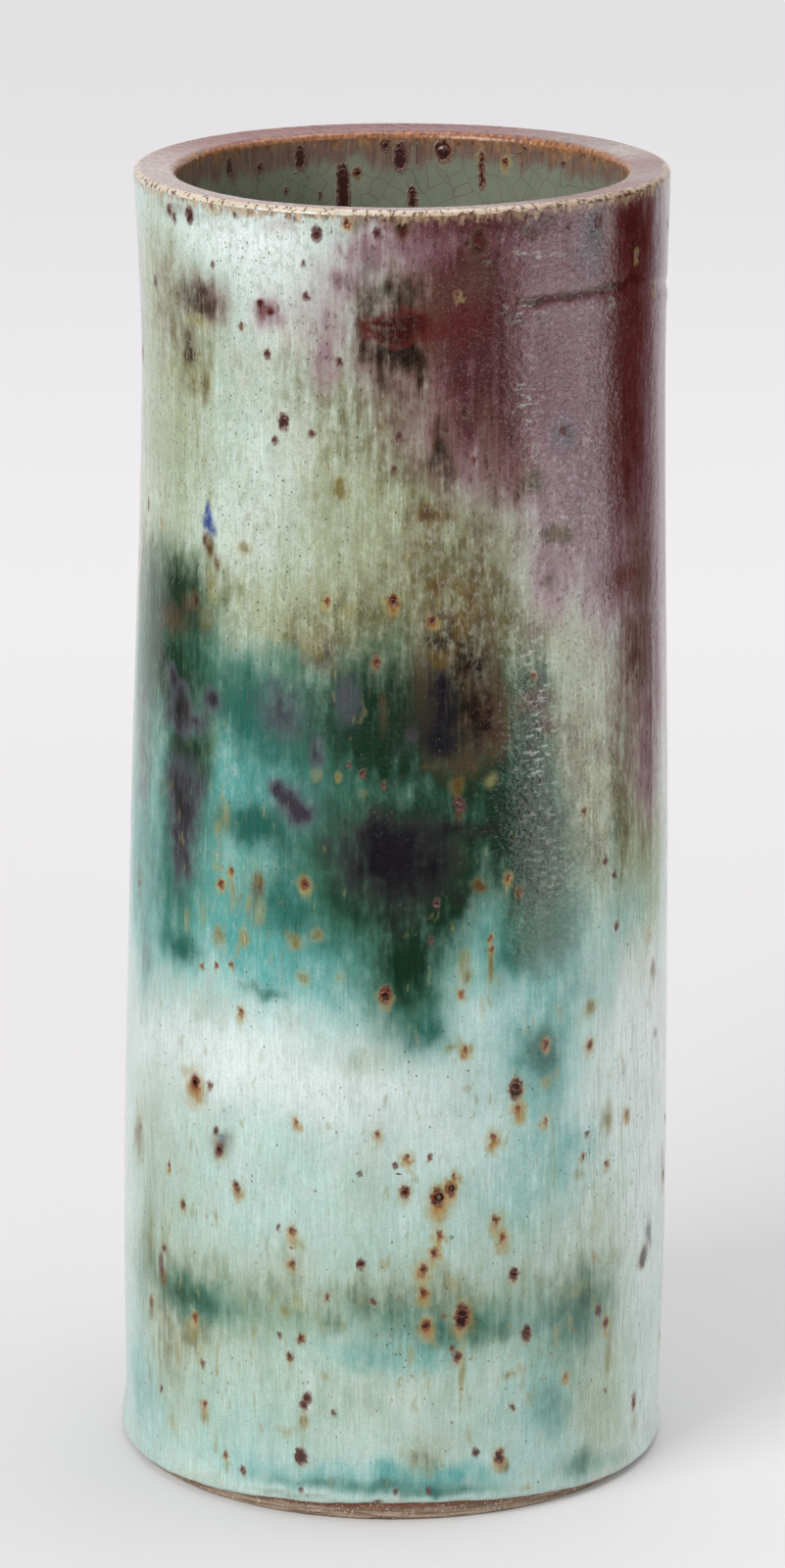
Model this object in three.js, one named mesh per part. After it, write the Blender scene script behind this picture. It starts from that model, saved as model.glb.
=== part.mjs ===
// Stoneware cylinder vessel, built by hand and glazed inside and out.
// A clay wall stands on a clay floor disc. Slip and a coil in the inside corner join the two.
// Four coats of fired glass cover the clay: outside, over the lip, down the inside and across the floor.
// Millimetres, +Z up. The origin is the centre of the foot, on the surface that it stands on.
// The front faces -Y.

import * as THREE from "three";

// Outside of the glazed vessel
const height = 300; // foot to the highest line of the lip
const footLineRadius = 62.2; // where the line of the wall would meet the table
const bellyRadius = 63.2; // the widest, low on the body
const bellyHeight = 60;
const middleRadius = 61.4;
const waistRadius = 58.8; // the narrowest, under the lip
const waistBelowLip = 50;
const lipRadius = 59.7;

// Clay
const wallAtFoot = 9.6;
const wallAtLip = 8;
const floorThickness = 9;
const slipThickness = 0.4;
const coilLeg = 7.5; // the corner coil, up the wall and in along the floor
const bevelHeight = 0.5; // the bevel that the foot was wiped to
const bevelDepth = 0.6;
const footRingWidth = 11;
const recessDepth = 1.8; // the hollow inside the foot ring
const recessSlope = 2.5;

// Lip
const lipSlope = 5.5; // degrees that its top falls towards the inside
const lipOuterRound = 0.8;
const lipInnerRound = 1.2;

// Glaze
const outerGlazeAtLip = 0.6;
const outerGlazeAtFoot = 1.1; // it ran, and is thicker low down
const lipGlaze = 0.4; // it breaks thin over the lip
const innerGlaze = 0.6;
const poolDepth = 1.7; // what ran down inside and gathered on the floor
const bond = 0.1; // the line between clay and glass, and between two coats

// The rolled edge where the outer glaze stopped above the foot
const bareBand = 0.15; // bare clay above the bevel, at its least
const bareRise = 2.6; // and how much more of it there is at the front
const bareFocus = 8; // how fast that falls off to the sides, 1 for slowly
const bareWave = 0.25;
const rollDepth = 1.6; // from the clay to the crest of the roll
const rollCrest = 1.4; // height of that crest over the glaze's edge
const rollHeight = 6;
const dripDepth = 0.9; // one thick run stands out further, at the left
const dripBearing = -90;
const dripSpread = 9;

// What the hand left: the axis bends to the right on its way up, and the body isn't quite round
const leanAtBelly = 0.8;
const leanAtMiddle = 2;
const leanAtWaist = 2.5;
const leanAtLip = 1.9;
const ovalSwell = 0.35;
const ovalTwist = 90; // height in which the oval turns by a radian
const threeLobeSwell = 0.2;
const threeLobeTwist = 70;

// The rim of the pool, which creeps up what it touches
const creepReach = 6; // how far in it starts to climb, over its climb
const creepFall = 2.7; // how steeply, 1 for a straight line
const poolShoulder = 1; // how far short of the coil its underside is still flat

// Fineness of the surfaces
const segments = 48;
const rowStep = 28;
const arcSteps = 4;
const hollowSteps = { above: 3, below: 2 };
const creepSteps = 3;

const { lerp, smoothstep, clamp, degToRad, radToDeg } = THREE.MathUtils;
const point = (r, h) => new THREE.Vector2(r, h);

// A smooth curve through stations given as height and value, read at any height
function curveThrough(stations) {
  const curve = new THREE.SplineCurve(stations.map(([h, value]) => point(h, value)));
  return (h) => {
    const wanted = clamp(h, stations[0][0], stations.at(-1)[0]);
    let [low, high] = [0, 1];
    while (high - low > 1e-9) {
      const middle = (low + high) / 2;
      if (curve.getPoint(middle).x < wanted) low = middle;
      else high = middle;
    }
    return curve.getPoint(low).y;
  };
}

const waistHeight = height - waistBelowLip;
const middleHeight = (bellyHeight + waistHeight) / 2;

const glazedRadius = curveThrough([
  [0, footLineRadius],
  [bellyHeight, bellyRadius],
  [middleHeight, middleRadius],
  [waistHeight, waistRadius],
  [height, lipRadius],
]);

const lean = curveThrough([
  [0, 0],
  [bellyHeight, leanAtBelly],
  [middleHeight, leanAtMiddle],
  [waistHeight, leanAtWaist],
  [height, leanAtLip],
]);

// Surfaces of the clay, by height
const outerGlaze = (h) => lerp(outerGlazeAtFoot, outerGlazeAtLip, h / height);
const clayOuter = (h) => glazedRadius(h) - outerGlaze(h) - bond;
const clayInner = (h) => clayOuter(h) - lerp(wallAtFoot, wallAtLip, h / height);

// Levels
const floorTop = floorThickness;
const wallBottom = floorTop + slipThickness;
const coilBottom = floorTop + bond;
const coilTop = coilBottom + coilLeg;
const poolTop = coilBottom + poolDepth;
const clayTop = height - lipGlaze - bond;
const outerSeam = clayTop - lipOuterRound; // where the outer glaze meets the lip's

// The heights of the rows that every surface of the wall shares
const rowCount = Math.round((outerSeam - coilTop) / rowStep);
const wallRows = Array.from({ length: rowCount }, (_, i) => lerp(coilTop, outerSeam, i / rowCount));
const rowsDown = wallRows.toReversed();

// Part of a circle, from one bearing to another in degrees, with a radius that may change on the way
function arc(centre, radiusAt, from, to, steps = arcSteps) {
  return Array.from({ length: steps + 1 }, (_, i) => {
    const turn = lerp(from, to, i / steps);
    const radius = radiusAt(turn);
    return point(centre.x + radius * Math.cos(degToRad(turn)), centre.y + radius * Math.sin(degToRad(turn)));
  });
}

// Sets a point of a profile at a bearing, where the front is 0 and the right a quarter turn.
// The axis bends and the swell turns alike in every layer, so each keeps its thickness.
function byHand(bearing, radius, h) {
  const oval = ovalSwell * Math.cos(2 * bearing + h / ovalTwist);
  const threeLobe = threeLobeSwell * Math.cos(3 * bearing - h / threeLobeTwist);
  const swell = ((oval + threeLobe) * smoothstep(h, 0, bellyHeight)) / bellyRadius;
  const r = radius * (1 + swell);
  return new THREE.Vector3(r * Math.sin(bearing) + lean(h), -r * Math.cos(bearing), h);
}

// Revolves a profile, then sets every point of it by hand
function revolve(profile, place = (bearing, p) => byHand(bearing, p.x, p.y)) {
  const geometry = new THREE.LatheGeometry(profile, segments);
  const position = geometry.getAttribute("position");
  for (let i = 0; i <= segments; i++) {
    const bearing = ((i % segments) * 2 * Math.PI) / segments;
    profile.forEach((p, j) => position.setXYZ(i * profile.length + j, ...place(bearing, p)));
  }
  geometry.computeVertexNormals();
  return geometry;
}

const closed = (profile) => [...profile, profile[0].clone()];

// The lip is two rounds with a straight slope between them, which touches both.
// The centre of the inner round follows from that.
const outerRoundCentre = point(clayOuter(outerSeam) - lipOuterRound, outerSeam);
const lipTurn = 90 + lipSlope;
const innerRoundCentre = point(
  clayOuter(outerSeam) - lerp(wallAtFoot, wallAtLip, outerSeam / height) + lipInnerRound,
  0,
);
const lipRun = outerRoundCentre.x - innerRoundCentre.x;
const roundsDiffer = lipOuterRound - lipInnerRound;
innerRoundCentre.y =
  outerSeam + (roundsDiffer - lipRun * Math.sin(degToRad(lipSlope))) / Math.cos(degToRad(lipSlope));
const innerSeam = innerRoundCentre.y; // where the inner glaze meets the lip's

// The line over the lip, so far off the clay as the depth says at each bearing of its rounds
const overLip = (depthAt) => [
  ...arc(outerRoundCentre, (turn) => lipOuterRound + depthAt(turn), 0, lipTurn),
  ...arc(innerRoundCentre, (turn) => lipInnerRound + depthAt(turn), lipTurn, 180),
];

function makeClayWall() {
  return revolve(
    closed([
      point(clayInner(wallBottom), wallBottom),
      point(clayOuter(wallBottom), wallBottom),
      ...wallRows.map((h) => point(clayOuter(h), h)),
      ...overLip(() => 0),
      ...rowsDown.map((h) => point(clayInner(h), h)),
    ]),
  );
}

// The disc stands on a ring with a bevelled edge, and is hollowed a little inside the ring
function makeFloorDisc() {
  const footRadius = clayOuter(bevelHeight) - bevelDepth;
  const hollowRadius = footRadius - footRingWidth;
  return revolve([
    point(0, recessDepth),
    point(hollowRadius - recessSlope, recessDepth),
    point(hollowRadius, 0),
    point(footRadius, 0),
    point(clayOuter(bevelHeight), bevelHeight),
    point(clayOuter(floorTop), floorTop),
    point(0, floorTop),
  ]);
}

// Slip between the disc and the wall
function makeLutingSlip() {
  const [low, high] = [floorTop + bond, wallBottom - bond];
  return revolve(
    closed([
      point(clayInner(wallBottom), low),
      point(clayOuter(wallBottom), low),
      point(clayOuter(wallBottom), high),
      point(clayInner(wallBottom), high),
    ]),
  );
}

// The inside corner is hollow, as a finger left it, round a centre off the wall and off the floor.
// The pool on the floor comes up it as far as one bearing, and the inner glaze down to it.
const hollowCentre = point(clayInner(coilTop) - bond - coilLeg, coilTop);
const poolTurn = -radToDeg(Math.asin(1 - poolDepth / coilLeg));
const hollowAbove = (inset) => arc(hollowCentre, () => coilLeg - inset, 0, poolTurn, hollowSteps.above);
const hollowBelow = (inset, top) => arc(hollowCentre, () => coilLeg - inset, top, -90, hollowSteps.below);

// A coil pressed into the corner, with its edges smoothed out on to the wall and the floor
function makeCornerCoil() {
  return revolve(
    closed([
      point(clayInner(wallBottom) - bond, coilBottom),
      point(clayInner(coilTop) - bond, coilTop),
      ...hollowAbove(0).slice(1),
      ...hollowBelow(0, poolTurn).slice(1),
    ]),
  );
}

// The height of the outer glaze's edge at a bearing
function edgeAt(bearing) {
  const rise = bareRise * ((1 + Math.cos(bearing)) / 2) ** bareFocus;
  const wave = (bareWave * (1 + Math.sin(5 * bearing))) / 2;
  return bevelHeight + bareBand + rise + wave;
}

// How far a bearing is into the thick run, from 0 to 1
function dripAt(bearing) {
  const off = THREE.MathUtils.euclideanModulo(radToDeg(bearing) - dripBearing + 180, 360) - 180;
  return Math.exp(-((off / dripSpread) ** 2));
}

// The outer coat is drawn as its depth over the clay against height.
// Low down its points then follow the edge, and crest higher in the thick run.
function makeOuterGlaze() {
  const edge = bevelHeight + bareBand;
  const coatOverRoll = outerGlaze(edge + rollHeight);
  const underRoll = arc(point(0, 0), () => 1, -90, 0).map((p) =>
    point(p.x * rollDepth, edge + rollCrest * (1 + p.y)),
  );
  const overRoll = Array.from({ length: arcSteps - 1 }, (_, i) => {
    const t = (i + 1) / (arcSteps - 1);
    return point(
      lerp(rollDepth, coatOverRoll, smoothstep(t, 0, 1)),
      edge + lerp(rollCrest, rollHeight, t),
    );
  });
  const profile = closed([
    ...underRoll,
    ...overRoll,
    ...wallRows.map((h) => point(outerGlaze(h), h)),
    point(outerGlaze(outerSeam), outerSeam - bond),
    point(0, outerSeam - bond),
    ...rowsDown.map((h) => point(0, h)),
  ]);
  return revolve(profile, (bearing, p) => {
    const low = 1 - smoothstep(p.y, edge, coilTop);
    const h = p.y + (edgeAt(bearing) - edge) * low;
    const depth = p.x * (1 + (dripDepth / rollDepth) * dripAt(bearing) * low);
    return byHand(bearing, clayOuter(h) + bond + depth, h);
  });
}

// Thin over the top of the lip, and as thick as the coats beside it where they meet
function makeLipGlaze() {
  const depthAt = (turn) => {
    const beside = turn < 90 ? outerGlaze(outerSeam) : innerGlaze;
    return bond + lerp(beside, lipGlaze, Math.sin(degToRad(turn)));
  };
  return revolve(closed([...overLip(depthAt), ...overLip(() => bond).toReversed()]));
}

// Down the inside of the wall, and down the hollow of the coil as far as the pool
function makeInnerGlaze() {
  const down = (inset) => [
    point(clayInner(outerSeam) - inset, innerSeam - bond),
    ...rowsDown.slice(0, -1).map((h) => point(clayInner(h) - inset, h)),
    ...hollowAbove(inset),
  ];
  return revolve(closed([...down(bond).toReversed(), ...down(bond + innerGlaze)]));
}

// A level pool on the floor, which creeps up the hollow of the coil at its edge
function makeFloorGlaze() {
  const edgeTurn = poolTurn - radToDeg(bond / coilLeg);
  const edgeBelow = hollowBelow(bond, edgeTurn).toReversed();
  const [edgeAbove] = hollowBelow(bond + innerGlaze, edgeTurn);
  const creep = edgeAbove.y - poolTop;
  const falling = Array.from({ length: creepSteps }, (_, i) => {
    const t = (i + 1) / creepSteps;
    return point(edgeAbove.x - creep * creepReach * t, poolTop + creep * (1 - t) ** creepFall);
  });
  return revolve([
    point(0, floorTop + bond),
    point(hollowCentre.x - poolShoulder, floorTop + bond),
    ...edgeBelow,
    edgeAbove,
    ...falling,
    point(0, poolTop),
  ]);
}

const vessel = new THREE.Group();

function add(name, geometry, color, roughness) {
  const mesh = new THREE.Mesh(geometry, new THREE.MeshStandardMaterial({ color, roughness, metalness: 0 }));
  mesh.name = name;
  vessel.add(mesh);
}

add("clay_wall", makeClayWall(), 0x8d7b6c, 0.9);
add("floor_disc", makeFloorDisc(), 0x8d7b6c, 0.9);
add("luting_slip", makeLutingSlip(), 0x9a8877, 0.95);
add("corner_coil", makeCornerCoil(), 0x9a8877, 0.9);
add("outer_glaze", makeOuterGlaze(), 0x8fb5a6, 0.2);
add("lip_glaze", makeLipGlaze(), 0xa8707a, 0.2);
add("inner_glaze", makeInnerGlaze(), 0x8f9a86, 0.25);
add("floor_glaze", makeFloorGlaze(), 0x7d8f80, 0.12);

export default vessel;
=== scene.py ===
import bmesh
import bpy
import math
import numpy as np
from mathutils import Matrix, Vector


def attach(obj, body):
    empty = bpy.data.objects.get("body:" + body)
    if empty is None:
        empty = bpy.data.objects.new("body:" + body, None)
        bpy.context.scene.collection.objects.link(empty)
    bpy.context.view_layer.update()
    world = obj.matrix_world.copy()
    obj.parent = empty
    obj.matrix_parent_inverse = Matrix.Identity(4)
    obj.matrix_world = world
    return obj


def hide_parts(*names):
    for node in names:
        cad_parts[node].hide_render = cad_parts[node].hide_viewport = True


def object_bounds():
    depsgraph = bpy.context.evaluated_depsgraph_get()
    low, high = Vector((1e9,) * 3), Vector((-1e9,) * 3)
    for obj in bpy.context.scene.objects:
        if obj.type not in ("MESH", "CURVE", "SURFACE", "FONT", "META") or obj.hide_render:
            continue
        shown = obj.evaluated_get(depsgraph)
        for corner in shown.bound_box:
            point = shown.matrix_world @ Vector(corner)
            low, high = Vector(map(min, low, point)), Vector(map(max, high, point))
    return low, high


# A tall stoneware cylinder with a running copper glaze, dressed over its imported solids.
# Sizes are real ones in millimetres, made metres where a mesh is written. The front faces -Y.

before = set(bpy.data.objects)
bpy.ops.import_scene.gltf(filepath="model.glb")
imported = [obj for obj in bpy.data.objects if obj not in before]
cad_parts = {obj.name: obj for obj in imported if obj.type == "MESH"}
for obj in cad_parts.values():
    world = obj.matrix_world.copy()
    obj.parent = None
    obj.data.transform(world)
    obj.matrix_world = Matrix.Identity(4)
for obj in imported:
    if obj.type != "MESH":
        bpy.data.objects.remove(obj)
cadLow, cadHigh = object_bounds()
mm = 0.001

# The form, as the solids have it

form = {
    "height": 300,
    "outline": [(0, 62.2), (60, 63.2), (155, 61.4), (250, 58.8), (300, 59.7)],  # height, glazed radius
    "lean": [(0, 0), (60, 0.8), (155, 2.0), (250, 2.5), (300, 1.9)],  # height, axis to the right
    "ovalSwell": 0.35, "ovalTwist": 90, "lobeSwell": 0.2, "lobeTwist": 70,
    "bellyHeight": 60, "bellyRadius": 63.2,
    "coatAtFoot": 1.1, "coatAtLip": 0.6, "bond": 0.1,
    "wallAtFoot": 9.6, "wallAtLip": 8.0,
    "lipSlope": 5.5, "lipOuterRound": 0.8, "lipInnerRound": 1.2, "lipCoat": 0.4, "innerCoat": 0.6,
    "floorTop": 9, "coilLeg": 7.5, "poolDepth": 1.7,
    "bevelHeight": 0.5, "bevelDepth": 0.6, "footRingWidth": 11, "recessDepth": 1.8, "recessSlope": 2.5,
}

meanRadius = 61  # of the wall in mm, where a bearing is turned to a length

# The photograph's camera, fitted to the rim and the foot
camera = {
    "standsAt": (0.1, -1450, 544.7), "looksDown": 14.99, "focalPixels": 6676,
    "picture": (801, 1600), "sensor": 24,
}


def smooth(x, low, high):
    t = np.clip((x - low) / (high - low), 0, 1)
    return t * t * (3 - 2 * t)


def mix(a, b, t):
    return a + (b - a) * t


def curveThrough(stations):  # a smooth curve by height through a few stations
    p = np.array(stations, float)
    runs = []
    for i in range(len(p) - 1):
        before, a, b, after = p[max(i - 1, 0)], p[i], p[i + 1], p[min(i + 2, len(p) - 1)]
        t = np.linspace(0, 1, 200)[:, None]
        slopeA, slopeB = (b - before) / 2, (after - a) / 2
        runs.append((2 * a - 2 * b + slopeA + slopeB) * t**3
                    + (-3 * a + 3 * b - 2 * slopeA - slopeB) * t**2 + slopeA * t + a)
    line = np.vstack(runs)
    return lambda h: np.interp(h, line[:, 0], line[:, 1])


glazedRadius = curveThrough(form["outline"])
leanAt = curveThrough(form["lean"])


def coatAt(h):  # the outer glaze's thickness
    return mix(form["coatAtFoot"], form["coatAtLip"], h / form["height"])


def clayOuter(h):
    return glazedRadius(h) - coatAt(h) - form["bond"]


def clayInner(h):
    return clayOuter(h) - mix(form["wallAtFoot"], form["wallAtLip"], h / form["height"])


def byHand(bearing, radius, h):  # the bent axis and the swell that every layer shares
    swell = form["ovalSwell"] * np.cos(2 * bearing + h / form["ovalTwist"])
    swell = swell + form["lobeSwell"] * np.cos(3 * bearing - h / form["lobeTwist"])
    r = radius * (1 + swell * smooth(h, 0, form["bellyHeight"]) / form["bellyRadius"])
    return r * np.sin(bearing) + leanAt(h), -r * np.cos(bearing)


def softField(bearing, h, across, along, seed, octaves=1):  # smooth noise on the wall, -1 to 1, cells in mm
    total, weight = 0, 0
    for octave in range(octaves):
        shrink = 2**octave
        around = max(3, round(2 * math.pi * meanRadius / across * shrink))
        up = int(form["height"] / along * shrink) + 4
        lattice = np.random.default_rng(seed + octave).uniform(-1, 1, (around, up))
        u = (bearing / (2 * math.pi)) % 1 * around
        v = np.clip(h, 0, form["height"]) / along * shrink + 1
        i, j = np.floor(u).astype(int), np.floor(v).astype(int)
        fu, fv = smooth(u - i, 0, 1), smooth(v - j, 0, 1)
        i, k = i % around, (i + 1) % around
        low = mix(lattice[i, j], lattice[k, j], fu)
        high = mix(lattice[i, j + 1], lattice[k, j + 1], fu)
        total = total + mix(low, high, fv) / shrink
        weight += 1 / shrink
    return total / weight


# From a place in the photograph to a place on the wall


def photoRay(px, py):
    pitch = math.radians(camera["looksDown"])
    forward = np.array([0, math.cos(pitch), -math.sin(pitch)])
    up = np.array([0, math.sin(pitch), math.cos(pitch)])
    right = np.array([1.0, 0, 0])
    wide, tall = camera["picture"]
    return (forward + right * (px - wide / 2) / camera["focalPixels"]
            + up * (tall / 2 - py) / camera["focalPixels"])


def wallFromPhoto(px, py, radiusAt=glazedRadius, far=False):  # bearing and height, outside or far inside
    start, ray = np.array(camera["standsAt"], float), photoRay(px, py)
    h = 150.0
    for _ in range(6):
        offset = np.array([start[0] - leanAt(h), start[1]])
        a = ray[0]**2 + ray[1]**2
        b = offset[0] * ray[0] + offset[1] * ray[1]
        c = offset @ offset - radiusAt(h)**2
        root = math.sqrt(max(b * b - a * c, 0))
        travel = (-b + (root if far else -root)) / a
        h = float(np.clip(start[2] + travel * ray[2], 0, form["height"]))
    x, y = offset + travel * ray[:2]
    return math.atan2(x, -y), h


photoScale = 4.45  # pixels of the photograph to a millimetre at the vessel's front


# Meshes


def showObject(name, data):
    thing = bpy.data.objects.new(name, data)
    bpy.context.scene.collection.objects.link(thing)
    return thing


def skinMesh(name, rings, sharpRings=(), closed=True, values=None):
    # rings is rows x around x 3 in mm. Rows go up the outside, so the faces point out.
    rows, around = rings.shape[:2]
    points = rings.reshape(-1, 3) * mm
    i = np.arange(around)
    k = (i + 1) % around
    lower = np.arange(rows if closed else rows - 1)
    upper = (lower + 1) % rows
    quads = np.stack([lower[:, None] * around + i, lower[:, None] * around + k,
                      upper[:, None] * around + k, upper[:, None] * around + i], axis=-1).reshape(-1, 4)
    mesh = bpy.data.meshes.new(name)
    mesh.vertices.add(len(points))
    mesh.vertices.foreach_set("co", points.ravel())
    mesh.loops.add(quads.size)
    mesh.loops.foreach_set("vertex_index", quads.ravel().astype(np.int32))
    mesh.polygons.add(len(quads))
    mesh.polygons.foreach_set("loop_start", np.arange(0, quads.size, 4, dtype=np.int32))
    mesh.update(calc_edges=True)
    mesh.polygons.foreach_set("use_smooth", np.ones(len(quads), bool))
    ends = np.empty(len(mesh.edges) * 2, np.int32)
    mesh.edges.foreach_get("vertices", ends)
    ring = ends.reshape(-1, 2) // around
    isSharp = (ring[:, 0] == ring[:, 1]) & np.isin(ring[:, 0], list(sharpRings))
    mesh.edges.foreach_set("use_edge_sharp", isSharp)
    for key, array in (values or {}).items():
        kind, field = ("FLOAT_VECTOR", "vector") if array.ndim == 3 else ("FLOAT", "value")
        mesh.attributes.new(key, kind, "POINT").data.foreach_set(field, array.ravel())
    return showObject(name, mesh)


def closePoles(piece):  # rings that shrink to the axis are merged to one point, and their empty faces go
    mesh = piece.data
    work = bmesh.new()
    work.from_mesh(mesh)
    bmesh.ops.remove_doubles(work, verts=work.verts, dist=1e-7)
    bmesh.ops.dissolve_degenerate(work, edges=work.edges, dist=1e-7)
    work.to_mesh(mesh)
    work.free()
    return piece


# The oxides in the outer glaze, brushed and run over each other. Each wash is
# (x, y, half width, half height, amount) in the photograph's pixels, where the wall shows it.

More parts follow.
